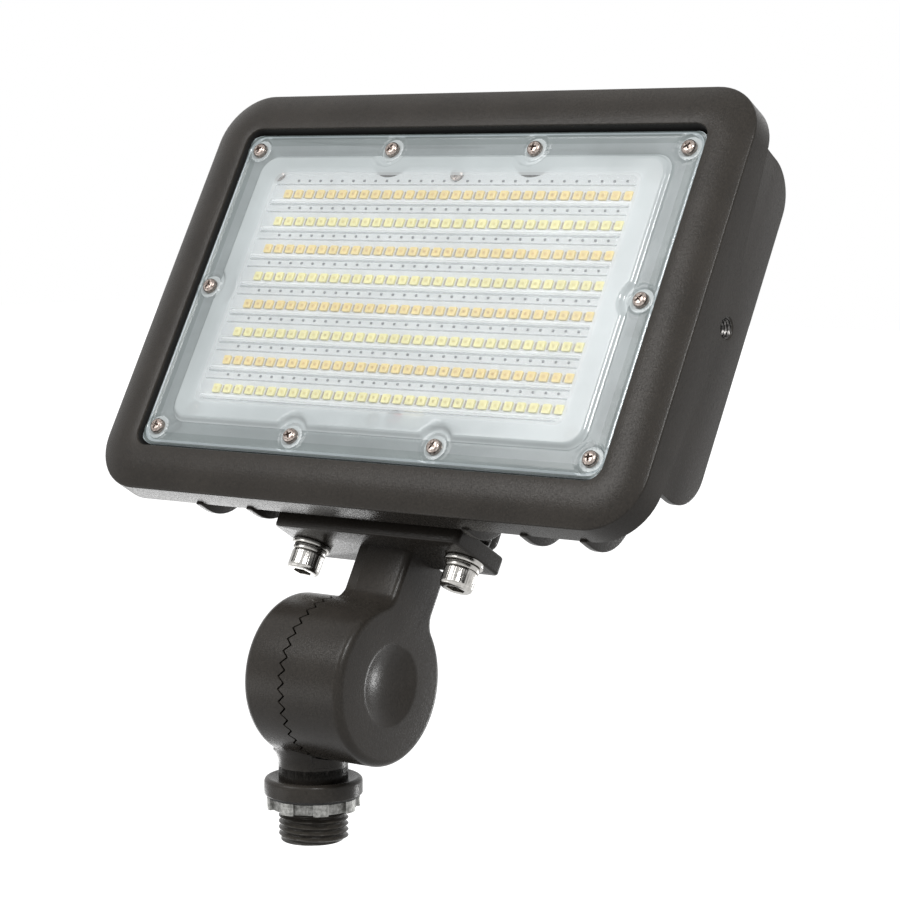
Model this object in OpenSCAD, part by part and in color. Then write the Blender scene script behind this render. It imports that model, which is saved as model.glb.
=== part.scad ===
// Flood light on a serrated knuckle mount.
// Origin: centre of the collar seat on the axis of the threaded stub. +Z runs up that axis,
// the lamp faces -Y and the tilt axis runs along X.

/* [Knuckle] */
// Height of the tilt axis above the collar seat
hinge_h = 36; // [34:0.5:42]
// Backward lean of the lamp at rest, degrees
tilt = 30; // [0:9:45]
// Radius of both knuckle halves
knuckle_r = 24.2; // [23:0.2:26]
// Distance from the stub axis to the closed face of the lower half
base_left = 7.5; // [7:0.5:9]
// Distance from the stub axis to the toothed joint plane
split_x = 8; // [8:0.5:9]
// Distance from the stub axis to the closed face of the upper half
arm_right = 29.8; // [28.5:0.1:32]
// Number of teeth on each half
teeth = 40; // [36:2:44]
// Depth of one tooth
tooth_h = 1.3; // [1:0.1:1.6]
// Gap between the facing tooth crests, so that the halves turn past each other
crest_gap = 0.3; // [0.3:0.05:0.5]
// Width of the flat on a tooth crest at the rim
crest_flat = 0.3; // [0.2:0.05:0.6]

/* [Threaded stub] */
// Outer diameter of the half inch straight pipe thread
stub_d = 20.9; // [20.7:0.1:21]
// Length of the stub below the collar seat
stub_len = 14; // [13:0.5:20]
// Bore for the supply wires
stub_bore_d = 15; // [12:0.5:15.5]
// Diameter of the collar
collar_d = 29.6; // [28:0.2:32]
// Height of the collar
collar_h = 5.2; // [4:0.2:6]
// Locknut thickness
locknut_h = 3.7; // [3:0.1:5]
// Diameter over the locknut lugs
locknut_d = 28.2; // [27:0.2:30]
// Number of locknut lugs
locknut_lugs = 8; // [6:1:10]
// Thickness of the stub gasket
stub_gasket_t = 0.6; // [0.5:0.1:1]

/* [Arm and plate] */
// Width of the arm along the tilt axis
arm_w = 20.2; // [17:0.2:20.2]
// Depth of the arm
arm_d = 20.4; // [18:0.2:21.4]
// Width of the mounting plate
plate_w = 69; // [67:0.2:76]
// Depth of the mounting plate
plate_d = 24.6; // [22:0.1:25]
// Thickness of the mounting plate
plate_t = 5.8; // [4:0.1:6.4]
// Height of the plate's underside above the tilt axis
plate_h = 38.2; // [37:0.2:42]
// Distance between the two plate screws
plate_pitch = 57.9; // [55:0.1:60]

/* [Housing] */
// Outer width of the housing
head_w = 202; // [198:1:206]
// Outer height of the housing
head_h = 140; // [136:1:144]
// Corner radius of the outline
head_r = 17; // [14:0.5:20]
// Sideways offset of the housing centre from the stub axis
head_dx = 18.6; // [16:0.2:22]
// Width of the crowned band round the front face
crown_w = 7; // [5:0.5:9]
// Drop of the crowned band from the front face to the edge
crown_h = 2.6; // [1.5:0.1:3.5]
// Depth of the rim behind the edge
rim_d = 8.4; // [6:0.2:9]
// Depth from the edge to the back of the fins
fins_d = 25.6; // [22:0.2:28]
// Thickness of a fin
fin_t = 2.4; // [2:0.1:3.5]

/* [Lens and lamps] */
// Width of the opening in the front face
window_w = 174; // [170:1:178]
// Height of the opening in the front face
window_h = 112.6; // [108:0.2:116]
// Rows of lamps
led_rows = 8; // [4:2:8]
// Lamps in a row
led_count = 30; // [20:1:30]
// From the side of the white field to the centre of the first lamp
led_margin_x = 13; // [12:0.1:20]
// From the edge of the white field to the middle of the first row
led_margin_y = 12.5; // [11:0.1:16]

/* [Clearances] */
// Radial clearance of threads and plain fits
fit_gap = 0.05; // [0.02:0.01:0.1]
// Clearance round parts that only pass through
free_gap = 0.3; // [0.3:0.05:0.5]

/* [Hidden] */
$fn = 64;

bronze = [0.30, 0.285, 0.265];
black_rubber = [0.06, 0.06, 0.06];
stainless = [0.78, 0.78, 0.76];
zinc = [0.62, 0.62, 0.6];

// Knuckle
edge_r = 2.5;
face_gap = crest_gap / 2;
seal_r = 16.7;
seal_cord = 1.8;
seal_groove = 1.65;
chamber_r = 14.5;
base_hub_r = 9.5;
arm_hub_r = 6.8;
teeth_r = 18.6;
base_chamber_x = -4;
arm_chamber_x = 24;
dish_r = 12;
dish_d = 3;
dish_ball_r = (dish_r * dish_r + dish_d * dish_d) / (2 * dish_d);
bolt_d = 6;
bolt_head_d = 10;
bolt_head_h = 6;
washer_t = 1.6;
washer_d = 12;
spring_t = 1.6;
spring_d = 10.4;
bolt_seat_x = base_left * -1 + bolt_head_h + spring_t + washer_t;
bolt_tip_x = 21;
hub_bore_end = 22;
neck_top_h = 22;
neck_top_r = 6.5;
upper_bore_d = 9;

// Arm, in the tilted frame whose origin lies on the tilt axis
arm_x = arm_right - arm_w / 2;
arm_y = -1.2;
arm_front_y = arm_y - arm_d / 2;
arm_rear_y = arm_y + arm_d / 2;
arm_corner_r = 1.6;
fillet_r = 6;
neck_fillet_r = 4;
blend_bite = 0.15;
plate_y = -9.2;
screw_y = -8;
plate_top = plate_h + plate_t;
gasket_t = 0.8;
pad_h = plate_top + gasket_t;
wire_y = -5.5;
wire_bore_r = 3.2;
plate_screw_tip = 10.8;
plate_gasket_inset = 2.4;
thread_groove_w = 0.6;
thread_groove_d = 0.5;

// Housing, in a face frame: X right, Y up, Z towards the front, origin level with the tilt axis plane
head_up = 110.8;
lip_z = 37.2;
edge_z = lip_z - crown_h;
rim_z = edge_z - rim_d;
core_z = rim_z - 2.7;
fins_z = edge_z - fins_d;
core_w = head_w - 12;
core_h = head_h - 22;
fin_gap = 19.8;
fin_pitch = (head_w / 2 - fin_gap) / 4;
side_fin_half = 54;
side_fin_r = 12;
fin_half = 70.7;
fin_r = 14.5;
ledge_z = lip_z - 5.5;
floor_z = ledge_z - 0.2;
window_r = 5;
lens_screw_side = 5.85;
lens_screw_end = 7.1;
lens_pitch_x = (window_w - 2 * lens_screw_side) / 3;
lens_pitch_y = window_h - 2 * lens_screw_end;
field_w = window_w - 19;
field_h = window_h - 19;
field_r = 6;
notch_r = 6;
side_hole_z = 19.7;
side_hole_d = 6;
side_hole_len = 12;

// Driver box on the back of the housing
box_top = 44;
box_half = 34.6;
box_rear_half = 30.2;
box_step_z = 6;
box_rear_z = 0.5;
box_floor_z = 22.5;
pad_y = pad_h - head_up;
block_h = 12;
bay_half = 27;
bay_top = 41;
bay_bottom = pad_y + block_h;
boss_r = 4.5;
post_x = bay_half - 3.5;
post_y = bay_top - 3.8;
cover_t = 3;
cover_w = 2 * box_rear_half - 0.4;
cover_top = 43.4;
cover_bottom = pad_y + 1;
cover_h = cover_top - cover_bottom;
cover_mid = (cover_top + cover_bottom) / 2;
cover_z = box_rear_z - gasket_t;
cover_screw_spots = [[-post_x, post_y], [post_x, post_y], [-21, pad_y + 6.6], [21, pad_y + 6.6]];
lead_hole = [7, 6.3 - field_h / 2];
lead_hole_r = 3;

// Lens, board and lamps
lens_side_gap = 0.3;
lens_end_gap = 1.2;
lens_w = window_w - 2 * lens_side_gap;
lens_h = window_h - 2 * lens_end_gap;
lens_z = lip_z - 2;
lens_t = 2.5;
lens_rise = 1.5;
lens_skin = 1.5;
lens_wall = 1.8;
field_inset = 0.4;
lens_well_r = 4.3;
lens_screw_d = 3;
lens_screw_head_d = 5.8;
lens_screw_head_h = 2;
lens_screw_tip_z = 28.2;
lens_mid_spots = [for (s = [-1, 1], t = [-1, 1]) [s * lens_pitch_x / 2, t * lens_pitch_y / 2]];
lens_end_spots = [for (s = [-1, 1]) [s * 1.5 * lens_pitch_x, 0]];
lens_corner_spots = [for (s = [-1, 1], t = [-1, 1]) [s * 1.5 * lens_pitch_x, t * lens_pitch_y / 2]];
lens_spots = concat(lens_mid_spots, lens_end_spots, lens_corner_spots);
board_t = 1.8;
board_z = floor_z + board_t;
board_gap = field_inset + lens_wall + 0.4;
board_spots = [for (s = [-1, 0, 1], t = [-1, 1]) [s * (field_w / 2 - 6.5), t * (field_h / 2 - 5.3)]];
led_w = 2.8;
led_h = 3.2;
led_t = 0.7;
led_pitch_x = (field_w - 2 * led_margin_x) / (led_count - 1);
led_pitch_y = (field_h - 2 * led_margin_y) / (led_rows - 1);
connector_size = [7, 5, 1.5];
connector_x = lead_hole[0] + lead_hole_r + 1;
driver_half = bay_half - 2;
driver_top = bay_top - 9;
driver_gap = 2.6;
driver_bottom = lead_hole[1] + lead_hole_r + driver_gap;
driver_z = 6;
driver_ear = 6.5;
driver_ear_spots = [[0, driver_top + driver_ear / 2], [-14, driver_bottom - driver_ear / 2]];
switch_y = 36.5;
switch_travel = 2.5;

// Places the tilted head frame
module head_frame() {
  translate([0, 0, hinge_h]) rotate([-tilt, 0, 0]) children();
}

// Places the face frame of the housing
module face_frame() {
  head_frame() translate([head_dx, 0, head_up]) rotate([90, 0, 0]) children();
}

// A rectangle with round corners, centred
module round_rect(w, h, r) {
  square([w - 2 * r, h], center = true);
  square([w, h - 2 * r], center = true);
  for (x = [-1, 1], y = [-1, 1]) translate([x * (w / 2 - r), y * (h / 2 - r)]) circle(r);
}

// A flat layer between two heights
module layer(z0, z1) {
  translate([0, 0, z0]) linear_extrude(z1 - z0) children();
}

// A cylinder from x0 to x1
module bar_x(x0, x1, r) {
  translate([x0, 0, 0]) rotate([0, 90, 0]) cylinder(h = x1 - x0, r = r);
}

// A ring from x0 to x1
module ring_x(x0, x1, outer, inner) {
  difference() {
    bar_x(x0, x1, outer);
    bar_x(x0 - 1, x1 + 1, inner);
  }
}

// A body turned about the X axis from an outline of [radius, x]
module turned_x(points) {
  rotate([0, 90, 0]) rotate_extrude($fn = 128) polygon(points);
}

// Points of a quarter round of the outline: centre, radius, start and end angle
function arc(c, r, a0, a1, n = 8) =
  [for (i = [0:n]) c + r * [cos(a0 + (a1 - a0) * i / n), sin(a0 + (a1 - a0) * i / n)]];

// All grooves between the teeth of one half. side is +1 where the teeth point along +X
module tooth_gaps(side) {
  over = 0.4;
  half_wide = (PI * knuckle_r / teeth - crest_flat / 2) * (1 + over / tooth_h);
  groove = [[-side * tooth_h, 0], [side * over, -half_wide], [side * over, half_wide]];
  for (i = [0:teeth - 1]) rotate([360 * i / teeth, 0, 0])
    translate([split_x - side * face_gap, 0, teeth_r]) linear_extrude(knuckle_r + 1 - teeth_r) polygon(groove);
}

// A washer standing on the plane z = 0
module washer(outer_d, hole_d, t) {
  difference() {
    cylinder(h = t, d = outer_d);
    translate([0, 0, -1]) cylinder(h = t + 2, d = hole_d);
  }
}

// A split spring washer
module spring_washer(outer_d, hole_d, t) {
  difference() {
    washer(outer_d, hole_d, t);
    translate([hole_d / 2 - 1, -0.4, -1]) cube([outer_d, 0.8, t + 2]);
  }
}

// A socket head cap screw, head on z = 0 and above, shank below
module cap_screw(d, length, head_d, head_h) {
  difference() {
    union() {
      cylinder(h = head_h - 0.6, d = head_d);
      translate([0, 0, head_h - 0.6]) cylinder(h = 0.6, d1 = head_d, d2 = head_d - 1.2);
      translate([0, 0, -length]) cylinder(h = length + 0.1, d = d);
    }
    translate([0, 0, head_h / 2]) cylinder(h = head_h, d = d * 0.96, $fn = 6);
  }
}

// A pan head screw with a cross recess, head on z = 0 and above
module pan_screw(d, length, head_d, head_h) {
  difference() {
    union() {
      cylinder(h = head_h * 0.6, d = head_d);
      translate([0, 0, head_h * 0.6]) cylinder(h = head_h * 0.4, d1 = head_d, d2 = head_d * 0.72);
      translate([0, 0, -length]) cylinder(h = length + 0.1, d = d);
    }
    for (a = [0, 90]) rotate([0, 0, a]) translate([0, 0, head_h]) cube([head_d * 0.55, 0.7, head_h], center = true);
  }
}

// Neck below the lower half, with a round blend on both sides of the disc
module neck() {
  cy = stub_d / 2 + neck_fillet_r - blend_bite;
  cz = hinge_h - sqrt(pow(knuckle_r + neck_fillet_r - blend_bite, 2) - cy * cy);
  reach = atan2(hinge_h - cz, cy);
  rotate_extrude() polygon([
    [0, collar_h - 1], [stub_d / 2, collar_h - 1], [stub_d / 2, cz + 2], [neck_top_r, neck_top_h], [0, neck_top_h]
  ]);
  intersection() {
    rotate_extrude() polygon(concat(
      [[0, cz - 1], [stub_d / 2 - blend_bite, cz - 1]],
      arc([cy, cz], neck_fillet_r, 180, 180 - reach, 6),
      [[0, cz + neck_fillet_r]]
    ));
    translate([edge_r - base_left, -knuckle_r, 0]) cube([base_left - edge_r + split_x, 2 * knuckle_r, hinge_h]);
  }
}

// Lower half of the knuckle with neck, collar and threaded stub
module knuckle_base() {
  face_x = split_x - face_gap;
  color(bronze) difference() {
    union() {
      translate([0, 0, hinge_h]) turned_x(concat(
        [[0, face_x], [0, -base_left]],
        arc([knuckle_r - edge_r, edge_r - base_left], edge_r, -90, 0),
        [[knuckle_r, face_x]]
      ));
      difference() {
        neck();
        translate([face_x, -knuckle_r, hinge_h - knuckle_r - 1]) cube([knuckle_r, 2 * knuckle_r, 2 * knuckle_r]);
      }
      rotate_extrude() polygon(concat(
        [[0, 0], [collar_d / 2 - 1, 0], [collar_d / 2, 1]],
        arc([collar_d / 2 - 1.4, collar_h - 1.4], 1.4, 0, 90),
        [[0, collar_h]]
      ));
      translate([0, 0, 1 - stub_len]) cylinder(h = stub_len, d = stub_d);
      translate([0, 0, -stub_len]) cylinder(h = 1.01, d1 = stub_d - 2, d2 = stub_d);
    }
    translate([0, 0, -stub_gasket_t - locknut_h - thread_groove_w - 0.1])
      washer(stub_d + 2, stub_d - 2 * thread_groove_d, thread_groove_w);
    translate([0, 0, -stub_len - 1]) cylinder(h = stub_len + 9, d = stub_bore_d);
    cylinder(h = hinge_h - base_hub_r - 2, d = upper_bore_d);
    translate([0, 0, hinge_h]) {
      ring_x(base_chamber_x, face_x + 1, chamber_r, base_hub_r);
      bar_x(-base_left - 1, bolt_seat_x, washer_d / 2 + free_gap);
      bar_x(-base_left, face_x + 1, bolt_d / 2 + free_gap);
      ring_x(face_x - seal_groove, face_x + 1, seal_r + seal_cord / 2 + 0.05, seal_r - seal_cord / 2 - 0.05);
      tooth_gaps(1);
    }
  }
}

// Flat gasket under the collar
module stub_gasket() {
  color(black_rubber) translate([0, 0, -stub_gasket_t])
    washer(collar_d - 1.6, stub_d + 2 * fit_gap, stub_gasket_t);
}

// Conduit locknut with lugs
module locknut() {
  body_d = locknut_d - 3.2;
  lug_w = 5.4;
  color(zinc) translate([0, 0, -stub_gasket_t - fit_gap - locknut_h]) difference() {
    union() {
      cylinder(h = locknut_h, d = body_d);
      intersection() {
        cylinder(h = locknut_h, d = locknut_d);
        for (i = [0:locknut_lugs - 1]) rotate([0, 0, 360 * i / locknut_lugs])
          translate([body_d / 2 - 2, -lug_w / 2, 0]) cube([5, lug_w, locknut_h]);
      }
    }
    translate([0, 0, -1]) cylinder(h = locknut_h + 2, d = stub_d + 2 * fit_gap);
  }
}

// Round seal between the knuckle halves
module knuckle_seal() {
  x = split_x - face_gap - seal_groove + seal_cord / 2;
  color(black_rubber) translate([x, 0, hinge_h]) rotate([0, 90, 0])
    rotate_extrude() translate([seal_r, 0]) circle(d = seal_cord, $fn = 32);
}

// Clamping bolt of the knuckle, driven from the closed face of the lower half
module knuckle_bolt() {
  head_x = bolt_seat_x - washer_t - spring_t;
  color(stainless) translate([head_x, 0, hinge_h]) rotate([0, -90, 0])
    cap_screw(bolt_d, bolt_tip_x - head_x, bolt_head_d, bolt_head_h - 0.2);
}

module knuckle_spring_washer() {
  color(stainless) translate([bolt_seat_x - washer_t, 0, hinge_h]) rotate([0, -90, 0])
    spring_washer(spring_d, bolt_d + 2 * free_gap, spring_t);
}

module knuckle_washer() {
  color(stainless) translate([bolt_seat_x, 0, hinge_h]) rotate([0, -90, 0])
    washer(washer_d, bolt_d + 2 * free_gap, washer_t);
}

// Outline of the round blends between the arm and the knuckle, in the plane across the tilt axis
module arm_blends() {
  for (s = [[-1, -arm_front_y], [1, arm_rear_y]]) {
    cy = s[1] + fillet_r - blend_bite;
    cz = sqrt(pow(knuckle_r + fillet_r - blend_bite, 2) - cy * cy);
    k = knuckle_r / (knuckle_r + fillet_r);
    difference() {
      polygon([[s[0] * 4, 10], [s[0] * (s[1] - 1), 12], [s[0] * cy * k, cz * k], [s[0] * cy, cz - 0.01], [s[0] * 4, cz - 0.01]]);
      translate([s[0] * cy, cz]) circle(fillet_r);
    }
  }
}

// Upper half of the knuckle with its arm and mounting plate
module knuckle_arm() {
  face_x = split_x + face_gap;
  color(bronze) head_frame() difference() {
    union() {
      turned_x(concat(
        [[0, face_x], [knuckle_r, face_x]],
        arc([knuckle_r - edge_r, arm_right - edge_r], edge_r, 0, 90),
        arc([0, arm_right - dish_d + dish_ball_r], dish_ball_r, -acos(dish_r / dish_ball_r), -90)
      ));
      difference() {
        translate([arm_x, arm_y, 12]) linear_extrude(plate_h - 11) round_rect(arm_w, arm_d, arm_corner_r);
        bar_x(arm_right - dish_d - 2, arm_right + 1, dish_r + 4);
      }
      translate([arm_right - arm_w + 1, 0, 0]) rotate([90, 0, 90]) linear_extrude(arm_w - 2) arm_blends();
      translate([head_dx, plate_y, plate_h]) linear_extrude(plate_t) round_rect(plate_w, plate_d, 1.4);
    }
    ring_x(face_x - 1, arm_chamber_x, chamber_r, arm_hub_r);
    bar_x(face_x - 1, hub_bore_end, bolt_d / 2 + fit_gap);
    translate([arm_x, wire_y, 9]) cylinder(h = pad_h, r = wire_bore_r);
    for (s = [-1, 1]) translate([head_dx + s * plate_pitch / 2, screw_y, plate_h - 1])
      cylinder(h = plate_t + 2, d = bolt_d + 2 * free_gap);
    tooth_gaps(-1);
  }
}

// Gasket between the mounting plate and the housing
module plate_gasket() {
  color(black_rubber) head_frame() translate([0, 0, plate_top]) difference() {
    translate([head_dx, plate_y, 0]) linear_extrude(gasket_t)
      round_rect(plate_w - 2 * plate_gasket_inset, plate_d - 2 * plate_gasket_inset, 2);
    translate([arm_x, wire_y, -1]) cylinder(h = gasket_t + 2, r = wire_bore_r);
    for (s = [-1, 1]) translate([head_dx + s * plate_pitch / 2, screw_y, -1])
      cylinder(h = gasket_t + 2, d = bolt_d + 2 * free_gap);
  }
}

// Repeats a piece under both plate screw holes, pointing down
module under_plate(drop) {
  head_frame() for (s = [-1, 1])
    translate([head_dx + s * plate_pitch / 2, screw_y, plate_h - drop]) rotate([180, 0, 0]) children();
}

module plate_washers() {
  color(stainless) under_plate(0) washer(washer_d, bolt_d + 2 * free_gap, washer_t);
}

module plate_spring_washers() {
  color(stainless) under_plate(washer_t) rotate([0, 0, 120]) spring_washer(spring_d, bolt_d + 2 * free_gap, spring_t);
}

module plate_screws() {
  length = washer_t + spring_t + plate_t + gasket_t + plate_screw_tip;
  color(stainless) under_plate(washer_t + spring_t) rotate([0, 0, 15]) cap_screw(bolt_d, length, bolt_head_d, bolt_head_h);
}

// Outline of the crowned edge as [distance inwards, height]
function crown_points() = concat(
  [[0, rim_z], [0, edge_z - 0.9], [0.3, edge_z - 0.25], [0.9, edge_z + 0.2]],
  [for (i = [1:6]) let (t = 0.15 + 0.85 * i / 6) [t * crown_w, edge_z + crown_h * (1 - pow(1 - t, 2))]]
);

// Full section of the rim across a given width
module rim_section(w) {
  p = crown_points();
  right = [for (q = p) [w / 2 - q[0], q[1]]];
  left = [for (i = [len(p) - 1:-1:0]) [p[i][0] - w / 2, p[i][1]]];
  polygon(concat(right, left));
}

// The rim block with its crowned front and round corners
module rim_block() {
  x = head_w / 2 - head_r;
  y = head_h / 2 - head_r;
  translate([0, y, 0]) rotate([90, 0, 0]) linear_extrude(2 * y) rim_section(head_w);
  translate([-x, 0, 0]) rotate([90, 0, 90]) linear_extrude(2 * x) rim_section(head_h);
  for (sx = [-1, 1], sy = [-1, 1]) translate([sx * x, sy * y, 0]) rotate_extrude($fn = 96)
    polygon(concat([[0, rim_z]], [for (q = crown_points()) [head_r - q[0], q[1]]], [[0, lip_z]]));
}

// What a round rear corner of a fin leaves of its square
module fin_corner(y, side, r) {
  difference() {
    translate([y - (side > 0 ? r : 1), fins_z - 1]) square(r + 1);
    translate([y - side * r, fins_z + r]) circle(r, $fn = 96);
  }
}

// Outline of a fin in the plane of height and depth, its rear corners round. It stands on the rim's
// rear face and reaches into it by a tongue
module fin_outline(y0, y1, r0, r1) {
  inset = 1.5;
  difference() {
    union() {
      translate([y0, fins_z]) square([y1 - y0, rim_z - fins_z]);
      translate([y0 + inset, fins_z]) square([y1 - y0 - 2 * inset, rim_z + 1 - fins_z]);
    }
    if (r0 > 0) fin_corner(y0, -1, r0);
    if (r1 > 0) fin_corner(y1, 1, r1);
  }
}

module fin(x, t, y0, y1, r0, r1) {
  translate([x - t / 2, 0, 0]) rotate([90, 0, 90]) linear_extrude(t) fin_outline(y0, y1, r0, r1);
}

// All cooling fins; the middle ones end at the driver box
module fins() {
  for (i = [-3, -2, 2, 3, 4]) fin(i * fin_pitch, fin_t, -fin_half, fin_half, fin_r, fin_r);
  fin(-4 * fin_pitch, fin_t, -side_fin_half, fin_half, side_fin_r, fin_r);
  for (i = [-1:1]) fin(i * fin_pitch, fin_t, box_top - 2, fin_half, 0, fin_r);
  for (s = [-1, 1]) fin(s * (head_w / 2 - fin_t / 2), fin_t, -side_fin_half, side_fin_half, side_fin_r, side_fin_r);
}

// Outline of the driver box across its width
module box_section() {
  polygon([
    [-box_half, core_z + 1], [-box_half, box_step_z], [-box_rear_half, box_rear_z],
    [box_rear_half, box_rear_z], [box_half, box_step_z], [box_half, core_z + 1]
  ]);
}

// Free space inside the driver box
module bay_outline() {
  difference() {
    translate([-bay_half, bay_bottom]) square([2 * bay_half, bay_top - bay_bottom]);
    for (s = [-1, 1]) {
      translate([s * post_x, post_y]) circle(boss_r);
      translate([s * post_x - (s > 0 ? 0 : 5), post_y - boss_r]) square([5, 2 * boss_r + 1]);
      translate([s * post_x - boss_r, post_y]) square([2 * boss_r, 5]);
    }
  }
}

// White field seen through the lens, with round notches at the lens screws
module field_outline(inset, notch) {
  difference() {
    round_rect(field_w - 2 * inset, field_h - 2 * inset, field_r);
    for (p = concat(lens_mid_spots, lens_end_spots)) translate(p) circle(notch + inset);
  }
}

// Cast housing: rim, recess for the lens, cooling fins and driver box
module housing() {
  color(bronze) face_frame() difference() {
    union() {
      rim_block();
      layer(core_z, rim_z + 1) round_rect(core_w, core_h, 10);
      fins();
      translate([0, box_top, 0]) rotate([90, 0, 0]) linear_extrude(box_top - pad_y) box_section();
      for (s = [-1, 1]) translate([s * head_w / 2, 0, side_hole_z]) rotate([0, s * -90, 0])
        cylinder(h = side_hole_len, r = side_hole_d / 2 + 3);
    }
    layer(ledge_z, lip_z + 1) round_rect(window_w, window_h, window_r);
    layer(floor_z, ledge_z + 1) field_outline(0, notch_r);
    layer(box_rear_z - 1, box_floor_z) bay_outline();
    for (p = lens_spots) translate([p[0], p[1], lens_screw_tip_z - 0.3])
      cylinder(h = 5, d = lens_screw_d + 2 * fit_gap, $fn = 24);
    for (p = board_spots) translate([p[0], p[1], floor_z - 4.5]) cylinder(h = 5, d = 2.5 + 2 * fit_gap, $fn = 24);
    for (p = driver_ear_spots) translate([p[0], p[1], box_floor_z - 1]) cylinder(h = 5.5, d = 3 + 2 * fit_gap, $fn = 24);
    for (p = cover_screw_spots) translate([p[0], p[1], box_rear_z - 1]) cylinder(h = 12, d = 4 + 2 * fit_gap, $fn = 32);
    for (s = [-1, 1]) {
      translate([s * plate_pitch / 2, pad_y - 1, -screw_y]) rotate([-90, 0, 0])
        cylinder(h = plate_screw_tip + 1.3, d = bolt_d + 2 * fit_gap);
      translate([s * (head_w / 2 + 1), 0, side_hole_z]) rotate([0, s * -90, 0])
        cylinder(h = side_hole_len + 1, d = side_hole_d);
    }
    translate([arm_x - head_dx, pad_y - 1, -wire_y]) rotate([-90, 0, 0]) cylinder(h = block_h + 2, r = wire_bore_r);
    translate([lead_hole[0], lead_hole[1], box_floor_z - 1]) cylinder(h = 12, r = lead_hole_r);
  }
}

// Flat gasket under the rim of the lens
module lens_gasket() {
  color(black_rubber) face_frame() layer(ledge_z, ledge_z + 1) difference() {
    round_rect(lens_w - 1, lens_h - 1, window_r);
    field_outline(-0.2, notch_r - 0.2);
    for (p = lens_spots) translate(p) circle(lens_screw_d / 2 + free_gap, $fn = 32);
  }
}

// Clear lens: a flat rim and a raised field that is hollow over the lamps
module lens() {
  color([0.75, 0.85, 0.88, 0.35]) face_frame() difference() {
    union() {
      layer(lens_z - lens_t, lens_z) round_rect(lens_w, lens_h, window_r);
      layer(lens_z - 0.5, lens_z + lens_rise) field_outline(field_inset, notch_r);
    }
    layer(lens_z - lens_t - 1, lens_z + lens_rise - lens_skin) field_outline(field_inset + lens_wall, notch_r);
    for (p = lens_spots) translate([p[0], p[1], lens_z - 6]) {
      cylinder(h = 12, r = lens_screw_d / 2 + free_gap, $fn = 32);
      translate([0, 0, 5.6]) cylinder(h = 12, r = lens_well_r, $fn = 48);
    }
  }
}

// The ten lens screws
module lens_screws() {
  head_z = lens_z - 0.4;
  color(stainless) face_frame() for (i = [0:len(lens_spots) - 1])
    translate([lens_spots[i][0], lens_spots[i][1], head_z]) rotate([0, 0, 37 * i])
      pan_screw(lens_screw_d, head_z - lens_screw_tip_z, lens_screw_head_d, lens_screw_head_h);
}

// Aluminium board that carries the lamps, with its thermal pad
module led_board() {
  color("white") face_frame() layer(floor_z, board_z) difference() {
    field_outline(board_gap, notch_r);
    for (p = board_spots) translate(p) circle(1.5, $fn = 24);
    translate(lead_hole) circle(lead_hole_r);
  }
}

// Lamps of every second row, starting from the given row counted from the top
module led_rows_from(first) {
  face_frame() for (row = [first:2:led_rows - 1], i = [0:led_count - 1])
    translate([
      (i - (led_count - 1) / 2) * led_pitch_x - led_w / 2,
      ((led_rows - 1) / 2 - row) * led_pitch_y - led_h / 2,
      board_z
    ]) cube([led_w, led_h, led_t]);
}

module warm_leds() {
  color([1, 0.72, 0.35]) led_rows_from(0);
}

module cool_leds() {
  color([0.98, 0.93, 0.55]) led_rows_from(1);
}

// Low connector where the leads reach the front of the board
module board_connector() {
  color("ivory") face_frame() translate([connector_x, lead_hole[1] - connector_size[1] / 2, board_z]) cube(connector_size);
}

module board_screws() {
  color(stainless) face_frame() for (p = board_spots) translate([p[0], p[1], board_z])
    pan_screw(2.5, board_z - floor_z + 4, 4.6, 1.4);
}

// Route of a lead: corners rounded by short curves
function unit(v) = v / norm(v);
function bend(p, r, n = 3) = concat(
  [p[0]],
  [for (i = [1:len(p) - 2], j = [0:n])
    let (
      a = p[i] + unit(p[i - 1] - p[i]) * r,
      b = p[i] + unit(p[i + 1] - p[i]) * r,
      t = j / n
    ) (1 - t) * (1 - t) * a + 2 * t * (1 - t) * p[i] + t * t * b],
  [p[len(p) - 1]]
);
function heading(p, i) =
  i == 0 ? unit(p[1] - p[0])
  : i == len(p) - 1 ? unit(p[i] - p[i - 1])
  : unit(unit(p[i] - p[i - 1]) + unit(p[i + 1] - p[i]));

// A round lead swept along a route, eight sides
module lead(route, r) {
  sides = 8;
  count = len(route);
  side_way = [0.8, 0.5, -0.3];
  points = [for (i = [0:count - 1])
    let (t = heading(route, i), u = unit(cross(t, side_way)), v = cross(t, u))
    for (k = [0:sides - 1]) route[i] + r * (cos(360 * k / sides) * u + sin(360 * k / sides) * v)];
  walls = [for (i = [0:count - 2], k = [0:sides - 1])
    let (a = i * sides + k, b = i * sides + (k + 1) % sides) [a, a + sides, b + sides, b]];
  start = [[for (k = [0:sides - 1]) k]];
  end = [[for (k = [sides - 1:-1:0]) (count - 1) * sides + k]];
  polyhedron(points, concat(start, walls, end), convexity = 4);
}

// Two leads from the driver through the wall to the board
module led_leads() {
  exit_z = (driver_z + box_floor_z) / 2;
  end_z = board_z + connector_size[2] / 2;
  color("red") face_frame() for (s = [-1, 1]) {
    x = lead_hole[0] + s * 0.9;
    y = lead_hole[1] + s * 0.9;
    lead(bend([[x, driver_bottom, exit_z], [x, y, exit_z], [x, y, end_z], [connector_x, y, end_z]], 0.7), 0.6);
  }
}

// Potted driver module with two fixing ears
module driver() {
  color([0.85, 0.85, 0.83]) face_frame() difference() {
    union() {
      translate([-driver_half, driver_bottom, driver_z])
        cube([2 * driver_half, driver_top - driver_bottom, box_floor_z - driver_z]);
      for (p = driver_ear_spots) translate([p[0], p[1], box_floor_z - 1]) cube([10, driver_ear + 1, 2], center = true);
    }
    for (p = driver_ear_spots) translate([p[0], p[1], box_floor_z - 3]) cylinder(h = 4, d = 3.6, $fn = 24);
  }
}

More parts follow.
